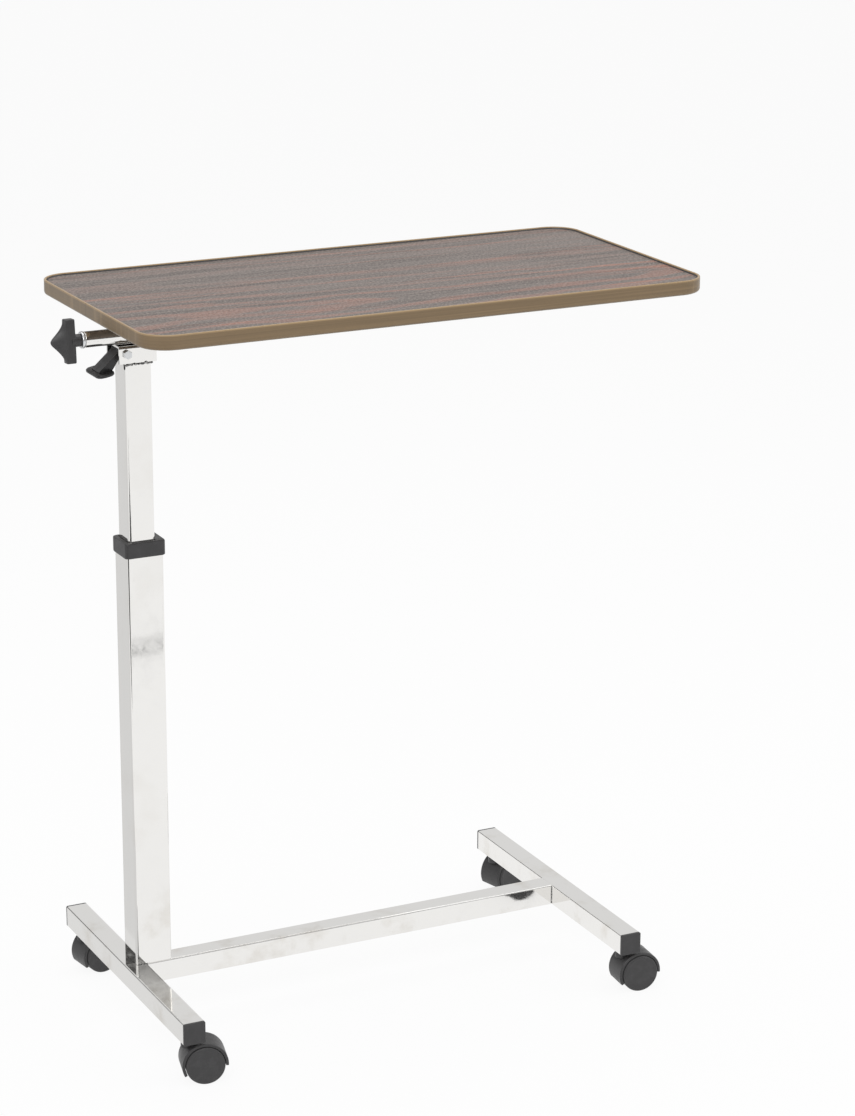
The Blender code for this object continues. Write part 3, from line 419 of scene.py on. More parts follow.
def board_core(colours):
    """Brown particle board with a fleck to each chip."""
    finish = Finish("board_core")
    chips = finish.add("ShaderNodeTexVoronoi", {"feature": "F1"},
                       {"Vector": finish.place, "Scale": 420.0}, "Color")
    grey = finish.add("ShaderNodeSeparateXYZ", sockets={0: chips})
    cloud = finish.cloud(finish.place, 30, detail=4, rough=0.6)
    tone = finish.mix(grey * 0.5 + cloud * 0.5, scaled(colours.board, 0.62), scaled(colours.board, 1.15))
    finish.set(base_color=tone, roughness=0.62 + 0.2 * cloud)
    finish.bump(grey, distance=0.0001, strength=0.4)
    return finish.material


# Shapes

def stood(name, bm, material):
    """Object in the scene from a bmesh, with one material."""
    mesh = bpy.data.meshes.new(name)
    bm.to_mesh(mesh)
    bm.free()
    mesh.materials.append(material)
    thing = bpy.data.objects.new(name, mesh)
    bpy.context.scene.collection.objects.link(thing)
    return thing


def finished(name, bm, look, body, nodes=(), weighted=True):
    """Piece from a bmesh at its place: smooth shading, its finish, its body and the nodes it stands for."""
    bmesh.ops.remove_doubles(bm, verts=bm.verts, dist=WELD_DISTANCE)
    bmesh.ops.recalc_face_normals(bm, faces=bm.faces)
    piece = stood(name, bm, bpy.data.materials[look])
    piece.data.shade_smooth()
    piece.data.set_sharp_from_angle(angle=SMOOTH_ANGLE)
    if weighted:
        normals = piece.modifiers.new("Weighted Normals", "WEIGHTED_NORMAL")
        normals.keep_sharp = True
    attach(piece, body)
    if nodes:
        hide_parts(*nodes)
    return piece


def body_of(node):
    """Body that carries a node."""
    return next(name for name, nodes in frame["record"]["behaviour"]["bodies"].items() if node in nodes)


def slot_of(node):
    """Material slot of a node."""
    return next(part["material_slot"] for part in frame["record"]["subparts"] if part["node"] == node)


def bevelled(bm, edges, width, segments):
    """Rounded edges, in the way every piece here uses."""
    bmesh.ops.bevel(bm, geom=list(edges), offset=width, offset_type="OFFSET", affect="EDGES",
                    segments=segments, profile=0.5, material=-1, clamp_overlap=True)


def only(geom, kind):
    """Elements of one kind from what an operator gave back."""
    return [element for element in geom if isinstance(element, kind)]


def edges_along(bm, axis):
    """Edges that run along one axis."""
    return [e for e in bm.edges if abs((e.verts[0].co - e.verts[1].co).normalized()[axis]) > ALIGNED]


def sharp_edges(bm, degrees):
    """Edges whose faces meet at more than an angle."""
    limit = math.radians(degrees)
    return [e for e in bm.edges if len(e.link_faces) == 2 and e.calc_face_angle(0) > limit]


def block(lo, hi):
    """Box between two corners."""
    bm = bmesh.new()
    bmesh.ops.create_cube(bm, size=1.0)
    bmesh.ops.scale(bm, vec=hi - lo, verts=bm.verts)
    bmesh.ops.translate(bm, vec=(lo + hi) / 2, verts=bm.verts)
    return bm


def lathe(profile, steps):
    """Profile of (radius, height) points spun about Z into a turned form."""
    bm = bmesh.new()
    points = [bm.verts.new((radius, 0, height)) for radius, height in profile]
    edges = [bm.edges.new(pair) for pair in zip(points, points[1:])]
    bmesh.ops.spin(bm, geom=points + edges, cent=(0, 0, 0), axis=(0, 0, 1), angle=2 * math.pi, steps=steps,
                   use_merge=True, use_duplicate=False)
    bmesh.ops.remove_doubles(bm, verts=bm.verts, dist=WELD_DISTANCE)
    bmesh.ops.recalc_face_normals(bm, faces=bm.faces)
    return bm


def placed(bm, *matrices):
    """Bmesh after a few transforms, the first one applied first."""
    for matrix in matrices:
        bmesh.ops.transform(bm, matrix=matrix, verts=bm.verts)
    return bm


def merged(*parts):
    """One bmesh from several."""
    whole = bmesh.new()
    for bm in parts:
        mesh = bpy.data.meshes.new("part")
        bm.to_mesh(mesh)
        bm.free()
        whole.from_mesh(mesh)
        bpy.data.meshes.remove(mesh)
    return whole


def eased(radius, height, ease, side, steps=4):
    """Quarter-round profile points that end a turned edge; side is +1 for the upper edge."""
    turns = [math.pi / 2 * i / steps for i in range(steps + 1)]
    if side > 0:
        turns.reverse()
    return [(radius - ease + ease * math.cos(a), height + side * (ease * math.sin(a) - ease)) for a in turns]


def dressed(node, width, segments=2, degrees=35):
    """Copy of a node's own shape, merged and with its sharp edges rounded."""
    bm = bmesh.new()
    bm.from_mesh(frame["nodes"][node].data)
    bmesh.ops.remove_doubles(bm, verts=bm.verts, dist=WELD_DISTANCE)
    bmesh.ops.dissolve_limit(bm, angle_limit=math.radians(1), verts=bm.verts, edges=bm.edges)
    bevelled(bm, sharp_edges(bm, degrees), width, segments)
    return bm


def square_tube(node, axis, corner, wall):
    """Hollow tube in a node's box, with round long corners and open ends."""
    lo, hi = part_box(node)
    bm = block(lo, hi)
    bevelled(bm, edges_along(bm, axis), corner, 6)
    ends = [f for f in bm.faces if abs(f.normal[axis]) > ALIGNED]
    bmesh.ops.inset_region(bm, faces=ends, thickness=wall, use_even_offset=True)
    rims = [e for f in ends for e in f.edges]
    bmesh.ops.delete(bm, geom=ends, context="FACES_ONLY")
    bmesh.ops.bridge_loops(bm, edges=rims)
    return bm


def weld_bead(name, points, radius, body, seed):
    """Uneven bead from one point to another, wavy in thickness and in height."""
    curve = bpy.data.curves.new(name, "CURVE")
    curve.dimensions = "3D"
    curve.bevel_depth = radius
    curve.bevel_resolution = 3
    curve.use_fill_caps = True
    start, end = (Vector(p) for p in points)
    spacing, fewest = 0.0012, 8
    thin, swell, sway_share = 0.85, 0.38, 1.3
    count = max(fewest, int((end - start).length / spacing))
    spline = curve.splines.new("POLY")
    spline.points.add(count)
    for i, point in enumerate(spline.points):
        share = i / count
        ripple = noise.noise(Vector((share * count * 0.55, seed, 0.3)))
        sway = sway_share * radius * noise.noise(Vector((share * 9, seed, 7.1)))
        place = start.lerp(end, share) + Vector((0, 0, sway))
        point.co = (*place, 1)
        point.radius = thin + swell * ripple
    holder = bpy.data.objects.new(name, curve)
    bpy.context.scene.collection.objects.link(holder)
    bpy.context.view_layer.update()
    mesh = bpy.data.meshes.new_from_object(holder.evaluated_get(bpy.context.evaluated_depsgraph_get()))
    bpy.data.objects.remove(holder)
    bm = bmesh.new()
    bm.from_mesh(mesh)
    bpy.data.meshes.remove(mesh)
    return finished(name, bm, "weld_steel", body, weighted=False)


# Operators

class OVERBED_OT_finishes(bpy.types.Operator):
    """Make the materials and lay them on every node"""
    bl_idname = "overbed.finishes"
    bl_label = "Finishes"

    def execute(self, context):
        colours = context.scene.overbed_colours
        makers = {"chrome": chrome_plate, "zinc_steel": zinc_plate, "black_plastic": charcoal_moulding,
                  "black_casting": coated_casting, "wheel_plastic": wheel_moulding,
                  "guide_plastic": natural_nylon, "core_board": board_core,
                  "walnut_laminate": walnut_laminate, "edge_vinyl": edge_vinyl}
        looks = {slot: make(colours) for slot, make in makers.items()}
        weld_steel(colours)
        for node, thing in frame["nodes"].items():
            thing.data.materials.clear()
            thing.data.materials.append(looks[slot_of(node)])
        return {"FINISHED"}


class OVERBED_OT_frame_tubes(bpy.types.Operator):
    """Round-cornered feet, rail and columns, with their welds"""
    bl_idname = "overbed.frame_tubes"
    bl_label = "Frame tubes"

    def execute(self, context):
        sizes = context.scene.overbed_sizes
        base, column = sizes.base_corner, sizes.column_corner
        tubes = {"left_foot_tube": (1, base), "right_foot_tube": (1, base), "base_rail": (0, base),
                 "outer_column": (2, column), "inner_column": (2, sizes.inner_corner)}
        for node, (axis, corner) in tubes.items():
            bm = square_tube(node, axis, corner, sizes.tube_wall)
            finished(f"{node}_plated", bm, "chrome_plate", body_of(node), (node,))
        self.welds(sizes)
        return {"FINISHED"}

    def welds(self, sizes):
        """Beads where the rail, feet, column and head bracket meet."""
        rail_lo, rail_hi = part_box("base_rail")
        corner = sizes.base_corner
        rail_bead, column_bead, head_bead = (sizes.bead * share for share in (0.7, 0.6, 1.6))
        for x, side in ((rail_lo.x, "left"), (rail_hi.x, "right")):
            for y, face in ((rail_lo.y, "front"), (rail_hi.y, "rear")):
                run = ((x, y, rail_lo.z + corner), (x, y, rail_hi.z - corner))
                weld_bead(f"weld_rail_{side}_{face}", run, rail_bead, "base", x + y)
        column_lo, column_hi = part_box("outer_column")
        for y, face in ((column_lo.y, "front"), (column_hi.y, "rear")):
            run = ((column_lo.x + corner, y, column_lo.z), (rail_lo.x, y, column_lo.z))
            weld_bead(f"weld_column_{face}", run, column_bead, "base", y)
        bracket_lo, bracket_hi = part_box("head_bracket")
        inner_lo, inner_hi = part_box("inner_column")
        start_in, start_drop, end_drop = 0.001, 0.0014, 0.0002
        for y, face in ((bracket_lo.y + sizes.bead, "front"), (bracket_hi.y - sizes.bead, "rear")):
            left = (inner_lo.x + start_in, y, bracket_lo.z - start_drop)
            right = (inner_hi.x, y, bracket_lo.z - end_drop)
            weld_bead(f"weld_head_{face}", (left, right), head_bead, "lifting_head", y)


class OVERBED_OT_caps(bpy.types.Operator):
    """End caps of the feet and the collar of the column"""
    bl_idname = "overbed.caps"
    bl_label = "Caps and collar"

    def execute(self, context):
        sizes = context.scene.overbed_sizes
        for end in ("front", "rear"):
            for side in ("left", "right"):
                node = f"foot_cap_{end}_{side}"
                finished(f"{node}_moulded", self.cap(node, end, side, sizes), "charcoal_moulding", "base",
                         (node,))
        collar = merged(dressed("column_collar", sizes.small_edge, segments=3), *self.collar_tabs())
        finished("column_collar_moulded", collar, "charcoal_moulding", "base",
                 ("column_collar",))
        return {"FINISHED"}

    def collar_tabs(self):
        """Two flat tabs on the collar's right face, partly sunk into it."""
        lo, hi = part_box("column_collar")
        height = hi.z - lo.z
        sunk, thick, width, ease = 0.0006, 0.0016, 0.008, 0.0005
        foot_share, height_share = 0.18, 0.6
        tabs = []
        for share in (0.32, 0.68):
            middle = lo.y + (hi.y - lo.y) * share
            near = Vector((hi.x - sunk, middle - width / 2, lo.z + height * foot_share))
            tab = block(near, near + Vector((thick, width, height * height_share)))
            bevelled(tab, tab.edges, ease, 2)
            tabs.append(tab)
        return tabs

    def cap(self, node, end, side, sizes):
        """Thin square head on the tube's end, with a plug inside the tube."""
        lo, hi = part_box(node)
        tube_lo, tube_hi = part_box(f"{side}_foot_tube")
        head_lo, head_hi = lo.copy(), hi.copy()
        if end == "front":
            head_hi.y = tube_lo.y
        else:
            head_lo.y = tube_hi.y
        head = block(head_lo, head_hi)
        bevelled(head, edges_along(head, 1), sizes.base_corner, 5)
        outward = -1 if end == "front" else 1
        flat = max(head.faces, key=lambda face: outward * face.calc_center_median().y)
        bevelled(head, flat.edges, sizes.small_edge, 3)
        clearance, end_gap = 0.0004, 0.0005
        wall = Vector((sizes.tube_wall + clearance, end_gap, sizes.tube_wall + clearance))
        return merged(head, block(lo + wall, hi - wall))


class OVERBED_OT_top(bpy.types.Operator):
    """Edge moulding swept round the top, with a dark strip at its lip's foot as painted shade"""
    bl_idname = "overbed.top"
    bl_label = "Top"

    def execute(self, context):
        sizes = context.scene.overbed_sizes
        lo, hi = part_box("edge_moulding")
        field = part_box("table_laminate")[1].z
        moulding = self.swept(lo, hi, self.edge_section(lo, hi, field, sizes), sizes)
        finished("edge_moulding_swept", moulding, "vinyl_edging", "table_top",
                 ("edge_moulding",))
        # Dark strip at the lip's foot: painted shade in the crease between the lip and the laminate
        shade_strip = self.swept(lo, hi, self.shade_strip_section(hi, field, sizes), sizes)
        finished("lip_foot_shade_strip", shade_strip, "charcoal_moulding", "table_top")
        return {"FINISHED"}

    def shade_strip_section(self, hi, field, sizes):
        """Points of (inset, height) round the thin dark fillet between the lip and the laminate, which paints the
        shade in that crease.
        """
        overlap, sunk, edge = 0.0001, 0.0002, 0.0001
        upper_width, foot_width = 0.0004, 0.0011
        inset, rise = sizes.lip_width - overlap, (hi.z - field) * 0.55
        return [(inset, field - sunk), (inset, field + rise), (inset + upper_width, field + rise),
                (inset + foot_width, field + edge), (inset + foot_width, field - sunk)]

    def edge_section(self, lo, hi, field, sizes):
        """Points of (inset, height) round the moulding, from its inner foot under the board to the lip."""
        lip, low, crown = sizes.lip_width, sizes.edge_round, 0.0011
        foot_lift, below_field, steps = 0.0002, 0.0004, 5
        turns = [math.pi / 2 * i / steps for i in range(1, steps + 1)]
        section = [(lip, lo.z + foot_lift), (low, lo.z)]
        section += [(low * (1 - math.sin(turn)), lo.z + low * (1 - math.cos(turn))) for turn in turns]
        section += [(crown * (1 - math.cos(turn)), hi.z - crown * (1 - math.sin(turn))) for turn in turns]
        section += [(lip - crown, hi.z), (lip - crown * 0.3, hi.z - crown * 0.3), (lip, hi.z - crown),
                    (lip, field - below_field)]
        return section

    def swept(self, lo, hi, section, sizes):
        """Section carried along the front edge and spun round each corner in turn."""
        bm = bmesh.new()
        radius = sizes.top_corner
        start = Vector((lo.x + radius, lo.y, 0))
        points = [bm.verts.new((start.x, start.y + inset, height)) for inset, height in section]
        geom = points + [bm.edges.new(pair) for pair in zip(points, points[1:] + points[:1])]
        runs = (hi.x - lo.x - 2 * radius, hi.y - lo.y - 2 * radius)
        centres = ((hi.x - radius, lo.y + radius), (hi.x - radius, hi.y - radius),
                   (lo.x + radius, hi.y - radius), (lo.x + radius, lo.y + radius))
        heading = Vector((1, 0, 0))
        for corner, centre in enumerate(centres):
            geom = bmesh.ops.extrude_edge_only(bm, edges=only(geom, BMEdge))["geom"]
            ahead = only(geom, BMVert)
            bmesh.ops.translate(bm, vec=heading * runs[corner % 2], verts=ahead)
            rim = ahead + [edge for edge in only(geom, BMEdge) if all(v in ahead for v in edge.verts)]
            spun = bmesh.ops.spin(bm, geom=rim, cent=(*centre, 0), axis=(0, 0, 1), angle=math.pi / 2,
                                  steps=14, use_merge=False, use_duplicate=False)
            geom = spun["geom_last"]
            heading = Matrix.Rotation(math.pi / 2, 3, "Z") @ heading
        return bm


class OVERBED_OT_head(bpy.types.Operator):
    """Head bracket, pivot bolt, tilt tube and clamp"""
    bl_idname = "overbed.head"
    bl_label = "Head"

    def execute(self, context):
        sizes = context.scene.overbed_sizes
        steps = sizes.turn_steps
        finished("head_bracket_pressed", dressed("head_bracket", width=0.0004, degrees=60), "chrome_plate",
                 "lifting_head", ("head_bracket",))
        for node in ("lever_pivot_bolt", "lever_pivot_nut", "clamp_nut"):
            finished(f"{node}_plated", dressed(node, width=0.0005, degrees=40), "zinc_plate", "lifting_head",
                     (node,))
        self.turned_ring("tilt_tube", "chrome_plate", steps, bore=0.0085, ease=0.0006)
        self.turned_ring("tube_end_washer", "zinc_plate", steps, bore=0.0043, ease=0.0011)
        self.turned_ring("clamp_disc", "zinc_plate", steps, bore=0.0043, ease=0.0006)
        return {"FINISHED"}

    def turned_ring(self, node, look, steps, bore, ease):
        """Round tube or washer along X in a node's box."""
        lo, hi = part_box(node)
        radius = (hi.z - lo.z) / 2
        profile = [(bore, hi.x), *eased(radius, hi.x, ease, 1), *eased(radius, lo.x, ease, -1), (bore, lo.x),
                   (bore, hi.x)]
        centre = Matrix.Translation((0, (lo.y + hi.y) / 2, (lo.z + hi.z) / 2))
        bm = placed(lathe(profile, steps), ALONG_X, centre)
        finished(f"{node}_turned", bm, look, "lifting_head", (node,))


class OVERBED_OT_lever(bpy.types.Operator):
    """Paddle lever with rounded edges"""
    bl_idname = "overbed.lever"
    bl_label = "Release lever"

    def execute(self, context):
        sizes = context.scene.overbed_sizes
        lever = dressed("release_lever", sizes.small_edge, degrees=40)
        finished("release_lever_coated", lever, "coated_casting", "release_lever",
                 ("release_lever",))
        return {"FINISHED"}


class OVERBED_OT_knob(bpy.types.Operator):
    """Two-winged clamp knob with a hollow-sided cone"""
    bl_idname = "overbed.knob"
    bl_label = "Clamp knob"

    def execute(self, context):
        sizes = context.scene.overbed_sizes
        lo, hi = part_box("tilt_knob")
        length = hi.x - lo.x + sizes.knob_tip
        centre = Matrix.Translation((hi.x, (lo.y + hi.y) / 2, (lo.z + hi.z) / 2))
        turns = (Matrix.Rotation(sizes.knob_lean, 4, "Z"), Matrix.Rotation(-math.pi / 2, 4, "Y"), centre)
        wings, neck = placed(self.wings(length, sizes), *turns), placed(self.neck(sizes), *turns)
        bar = finished("tilt_knob_moulded", wings, "charcoal_moulding", "clamp_knob",
                       ("tilt_knob",), weighted=False)
        softened = bar.modifiers.new("Softened", "SUBSURF")
        softened.levels = softened.render_levels = 3
        bar.data.set_sharp_from_angle(angle=math.pi)
        finished("tilt_knob_neck", neck, "charcoal_moulding", "clamp_knob")
        return {"FINISHED"}

    def neck(self, sizes):
        """Round neck with the clamp rod's bore, open towards the tube."""
        radius, ease, end = 0.0078, 0.0005, 0.012
        bore, depth = 0.0043, 0.010
        return lathe([(0, depth), (bore, depth), (bore, 0), (radius - ease, 0), (radius, ease),
                      (radius, end), (0, end)], sizes.turn_steps)

    def wings(self, length, sizes):
        """Coarse bar whose outer face is drawn up to a tip; wings along X, axis Z."""
        back, front, rounding = sizes.knob_neck, sizes.knob_neck + sizes.knob_band, 0.0018
        along_fall, across_fall = (0.15, 1.75), (0.45, 1.35)

        def half_width(along):
            return sizes.knob_waist + (sizes.knob_wing - sizes.knob_waist) * along * along

        bm = bmesh.new()
        bmesh.ops.create_grid(bm, x_segments=16, y_segments=6, size=1.0)
        for vert in bm.verts:
            vert.co = (vert.co.x * sizes.knob_reach, vert.co.y * half_width(vert.co.x), back)
        layer = bm.faces[:]
        for rise in (rounding, sizes.knob_band - 2 * rounding, rounding):
            raised = bmesh.ops.extrude_face_region(bm, geom=layer)["geom"]
            layer, top = only(raised, BMFace), only(raised, BMVert)
            bmesh.ops.translate(bm, vec=(0, 0, rise), verts=top)
        for vert in top:
            along = vert.co.x / sizes.knob_reach
            across = vert.co.y / half_width(along)
            drawn = (length - front) * self.fall(along, *along_fall) * self.fall(across, *across_fall)
            vert.co.z = front + drawn
        return bm

    @staticmethod
    def fall(share, blunt, power):
        """Height from 1 at the middle to 0 at the edge: blunt in the middle, hollow towards the edge."""
        out = (math.hypot(share, blunt) - blunt) / (math.hypot(1, blunt) - blunt)
        return max(0.0, 1 - out) ** power


class OVERBED_OT_casters(bpy.types.Operator):
    """Hoods and wheels of the four casters"""
    bl_idname = "overbed.casters"
    bl_label = "Casters"

    def execute(self, context):
        sizes = context.scene.overbed_sizes
        for spot in SPOTS:
            roll = joint_named(f"roll_{spot}_inner")
            stem = Vector(joint_named(f"swivel_{spot}")["pos_m"])
            axle = Vector(roll["pos_m"])
            across = Vector(roll["axis"]).normalized()
            ahead = (axle - stem).to_2d().to_3d().normalized()
            turn = Matrix((ahead, across, Vector((0, 0, 1)))).transposed().to_4x4()
            place = Matrix.Translation(axle) @ turn
            trail = (axle - stem).to_2d().length
            self.hood(spot, place, trail, axle.z)
            for face, side in (("inner", 1), ("outer", -1)):
                node = f"caster_wheel_{spot}_{face}"
                bm = placed(self.wheel(axle.z, sizes), Matrix.Rotation(-side * math.pi / 2, 4, "X"), place)
                finished(f"{node}_turned", bm, "wheel_moulding", body_of(node), (node,))
        return {"FINISHED"}

    def wheel(self, radius, sizes):
        """Wheel with a rounded tread and a shallow dished face."""
        inner, outer = 0.0036, 0.0206
        hub, dish = 0.0035, 0.0008
        rim_foot, rim_top = (radius - 0.0055, outer - 0.0006), (radius - 0.0042, outer - 0.0002)
        outer_ease, inner_ease = 0.0026, 0.0018
        bore, bottom = 0.0034, outer - 0.003
        profile = [(0, outer - dish), (hub, outer - dish), rim_foot, rim_top]
        profile += eased(radius, outer, outer_ease, 1, 5) + eased(radius, inner, inner_ease, -1, 3)
        profile += [(bore, inner), (bore, bottom), (0, bottom)]
        return lathe(profile, sizes.turn_steps)

    def hood(self, spot, place, trail, radius):
        """Hood shell about the axle, with the middle web and the stem's boss."""
        inside, outside = radius + 0.0008, radius + 0.0044
        web_half, web_radius, web_foot = 0.003, inside + 0.001, -0.007
        web = lathe([(0, web_half), (web_radius, web_half), (web_radius, -web_half), (0, -web_half)], 64)
        placed(web, ALONG_Y)
        cut = bmesh.ops.bisect_plane(web, geom=web.verts[:] + web.edges[:] + web.faces[:],
                                     dist=WELD_DISTANCE, plane_co=(0, 0, web_foot), plane_no=(0, 0, -1),
                                     clear_outer=True)
        bmesh.ops.edgeloop_fill(web, edges=only(cut["geom_cut"], BMEdge))
        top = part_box(f"caster_hood_{spot}")[1].z - radius
        boss_radius, boss_foot, boss_ease = 0.0085, 0.0208, 0.0008
        boss = lathe([(0, top), *eased(boss_radius, top, boss_ease, 1), (boss_radius, boss_foot),
                      (0, boss_foot)], 40)
        placed(boss, Matrix.Translation((-trail, 0, 0)))
        bm = placed(merged(self.shell(inside, outside), web, boss), place)
        finished(f"caster_hood_{spot}_moulded", bm, "charcoal_moulding", f"caster_{spot}",
                 (f"caster_hood_{spot}",))

    def shell(self, inside, outside):
        """Curved wall of the hood about Y, between two radii."""
        half, ease = 0.0185, 0.0009
        start, end = math.radians(-4), math.radians(207)
        shell = bmesh.new()
        section = [(inside, -half), (outside - ease, -half), (outside, ease - half), (outside, half - ease),
                   (outside - ease, half), (inside, half)]
        points = [shell.verts.new((r * math.cos(start), y, r * math.sin(start))) for r, y in section]
        edges = [shell.edges.new(pair) for pair in zip(points, points[1:] + points[:1])]
        bmesh.ops.contextual_create(shell, geom=edges)
        bmesh.ops.spin(shell, geom=shell.faces[:] + points + edges, cent=(0, 0, 0), axis=(0, -1, 0),
                       angle=end - start, steps=44, use_merge=False, use_duplicate=False)
        bmesh.ops.recalc_face_normals(shell, faces=shell.faces)
        return shell


class OVERBED_OT_underside(bpy.types.Operator):
    """Saddles under the top and their wood screws"""
    bl_idname = "overbed.underside"
    bl_label = "Underside"

    def execute(self, context):
        from_side, flange = 0.011, 0.003
        for node in ("top_saddle_near", "top_saddle_far"):
            finished(f"{node}_pressed", dressed(node, width=0.0005, degrees=40), "zinc_plate", "table_top",
                     (node,))
            lo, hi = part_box(node)
            for x_share in (0.27, 0.73):
                x = lo.x + (hi.x - lo.x) * x_share
                for y, side in ((lo.y + from_side, "front"), (hi.y - from_side, "rear")):
                    self.screw(f"{node}_screw_{side}_{round(x_share * 100)}", x, y, hi.z - flange)
        return {"FINISHED"}

    def screw(self, name, x, y, z):
        """Pan-head screw, head down, with two thin bars as its cross."""
        outline = [(0, 0.0), (0.0036, 0.0), (0.0036, -0.0007), (0.0031, -0.0017), (0.0019, -0.0024),
                   (0, -0.0026)]
        head = lathe(outline, 24)
        bar_lo, bar_hi = Vector((-0.0017, -0.0004, -0.0030)), Vector((0.0017, 0.0004, -0.0021))
        arms = [placed(block(bar_lo, bar_hi), Matrix.Rotation(turn, 4, "Z")) for turn in (0, math.pi / 2)]
        bm = placed(merged(head, *arms), Matrix.Translation((x, y, z)))
        finished(name, bm, "zinc_plate", "table_top", weighted=False)


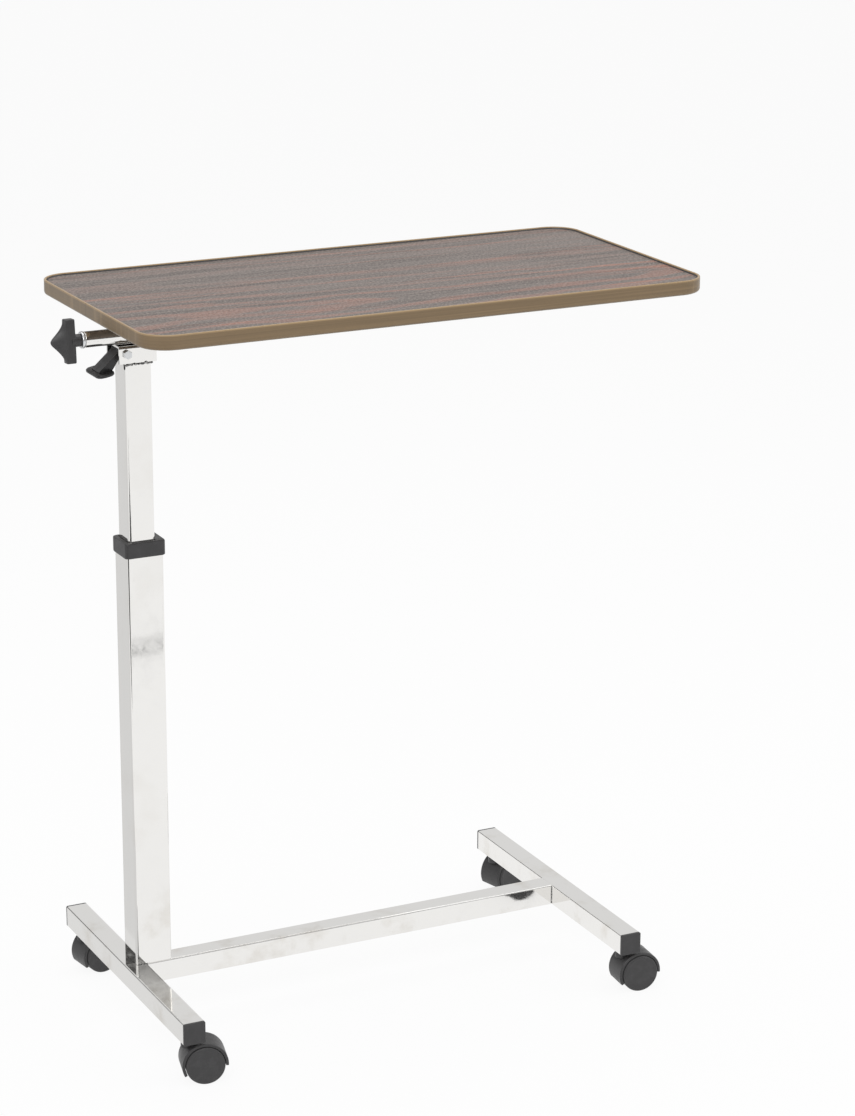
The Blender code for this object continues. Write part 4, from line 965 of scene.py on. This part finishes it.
class OVERBED_OT_stage(bpy.types.Operator):
    """Floor, light and camera"""
    bl_idname = "overbed.stage"
    bl_label = "Stage"

    def execute(self, context):
        stage = context.scene.overbed_stage
        self.floor(stage)
        self.world(context.scene)
        for name, settings in LAMPS.items():
            self.lamp(name, *settings)
        for name, settings in CARDS.items():
            self.card(name, *settings)
        self.camera(context.scene, stage)
        context.scene.view_settings.view_transform = "Standard"
        return {"FINISHED"}

    def card(self, name, place, sides, lean, grey):
        """Card that only mirror-like surfaces see, to give bright metal its edges."""
        bm = bmesh.new()
        bmesh.ops.create_grid(bm, x_segments=1, y_segments=1, size=0.5)
        bmesh.ops.scale(bm, vec=(*sides, 1), verts=bm.verts)
        placed(bm, Matrix.Rotation(math.radians(lean), 4, "X"), Matrix.Translation(place))
        look = Finish(name)
        light = look.add("ShaderNodeEmission", sockets={"Color": (grey, grey, grey, 1), "Strength": 1.0})
        look.tree.links.new(light.socket, look.tree.nodes["Material Output"].inputs["Surface"])
        card = stood(name, bm, look.material)
        card.visible_camera = False
        card.visible_diffuse = False
        card.visible_shadow = False

    def floor(self, stage):
        """Pale floor that is white to the camera and to reflections and keeps a soft shadow."""
        bm = bmesh.new()
        bmesh.ops.create_grid(bm, x_segments=1, y_segments=1, size=stage.floor_side / 2)
        look = Finish("floor_paper")
        rays = look.add("ShaderNodeLightPath").socket.node
        seen = sum((Wire(look, rays.outputs[name]) for name in ("Is Glossy Ray", "Is Transmission Ray")),
                   Wire(look, rays.outputs["Is Camera Ray"]))
        seen = look.add("ShaderNodeMath", {"operation": "MINIMUM"}, {0: seen, 1: 1.0})
        look.set(base_color=(0.85, 0.85, 0.85, 1), roughness=0.9, specular_ior_level=0.0)
        white = look.add("ShaderNodeEmission", sockets={"Color": (1, 1, 1, 1), "Strength": 1.0})
        paper, white_share = Wire(look, look.shader.outputs[0]), 0.92
        mixed = look.add("ShaderNodeMixShader", sockets={0: seen * white_share, 1: paper, 2: white})
        look.tree.links.new(mixed.socket, look.tree.nodes["Material Output"].inputs["Surface"])
        stood("floor", bm, look.material)

    def world(self, scene):
        """White to the camera, a softer grey overhead for the light."""
        scene.world = bpy.data.worlds.new("studio")
        scene.world.use_nodes = True
        tree = scene.world.node_tree
        background = tree.nodes["Background"]
        rays = tree.nodes.new("ShaderNodeLightPath")
        strength = 0.55
        for ray, more in (("Is Camera Ray", 0.45), ("Is Glossy Ray", 0.22)):
            step = tree.nodes.new("ShaderNodeMath")
            step.operation = "MULTIPLY_ADD"
            tree.links.new(rays.outputs[ray], step.inputs[0])
            step.inputs[1].default_value = more
            if isinstance(strength, float):
                step.inputs[2].default_value = strength
            else:
                tree.links.new(strength, step.inputs[2])
            strength = step.outputs[0]
        tree.links.new(strength, background.inputs["Strength"])
        background.inputs["Color"].default_value = (1, 1, 1, 1)

    def lamp(self, name, place, side, power):
        """Large soft light that faces the lit point."""
        light = bpy.data.lights.new(name, "AREA")
        light.shape = "SQUARE"
        light.size = side
        light.energy = power
        lamp = bpy.data.objects.new(name, light)
        lamp.location = place
        lamp.rotation_euler = (Vector(LIT_POINT) - Vector(place)).to_track_quat("-Z", "Y").to_euler()
        bpy.context.scene.collection.objects.link(lamp)

    def camera(self, scene, stage):
        """Camera at the photograph's angle."""
        data = bpy.data.cameras.new("camera")
        data.sensor_fit = "HORIZONTAL"
        data.sensor_width = 36.0
        data.lens = stage.focal * data.sensor_width / IMAGE_WIDTH
        data.clip_end = 50
        camera = bpy.data.objects.new("camera", data)
        flat = math.cos(stage.pitch)
        look = Vector((-math.sin(stage.yaw) * flat, math.cos(stage.yaw) * flat, math.sin(stage.pitch)))
        right = look.cross(Vector((0, 0, 1))).normalized()
        up = right.cross(look)
        turned_right = right * math.cos(stage.roll) + up * math.sin(stage.roll)
        turned_up = up * math.cos(stage.roll) - right * math.sin(stage.roll)
        rotation = Matrix((turned_right, turned_up, -look)).transposed().to_4x4()
        camera.matrix_world = Matrix.Translation(stage.eye) @ rotation
        scene.collection.objects.link(camera)
        scene.camera = camera


STEPS = (OVERBED_OT_finishes, OVERBED_OT_frame_tubes, OVERBED_OT_caps, OVERBED_OT_top, OVERBED_OT_head,
         OVERBED_OT_lever, OVERBED_OT_knob, OVERBED_OT_casters, OVERBED_OT_underside, OVERBED_OT_stage)


class OVERBED_PT_panel(bpy.types.Panel):
    """Sidebar list of the steps"""
    bl_label = "Overbed Table"
    bl_idname = "OVERBED_PT_panel"
    bl_space_type = "VIEW_3D"
    bl_region_type = "UI"
    bl_category = "Overbed Table"

    def draw(self, context):
        for step in STEPS:
            self.layout.operator(step.bl_idname)


GROUPS = {"overbed_sizes": OverbedSizes, "overbed_colours": OverbedColours, "overbed_stage": OverbedStage}
CLASSES = (*GROUPS.values(), *STEPS, OVERBED_PT_panel)


def register():
    """Register the classes and hang the settings on the scene."""
    for cls in CLASSES:
        bpy.utils.register_class(cls)
    for name, group in GROUPS.items():
        setattr(bpy.types.Scene, name, PointerProperty(type=group))


def unregister():
    """Take the settings and classes away again."""
    for name in GROUPS:
        delattr(bpy.types.Scene, name)
    for cls in reversed(CLASSES):
        bpy.utils.unregister_class(cls)


def main():
    """Build every piece in order."""
    register()
    bpy.ops.overbed.finishes()
    bpy.ops.overbed.frame_tubes()
    bpy.ops.overbed.caps()
    bpy.ops.overbed.top()
    bpy.ops.overbed.head()
    bpy.ops.overbed.lever()
    bpy.ops.overbed.knob()
    bpy.ops.overbed.casters()
    bpy.ops.overbed.underside()
    bpy.ops.overbed.stage()


if __name__ == "__main__":
    main()
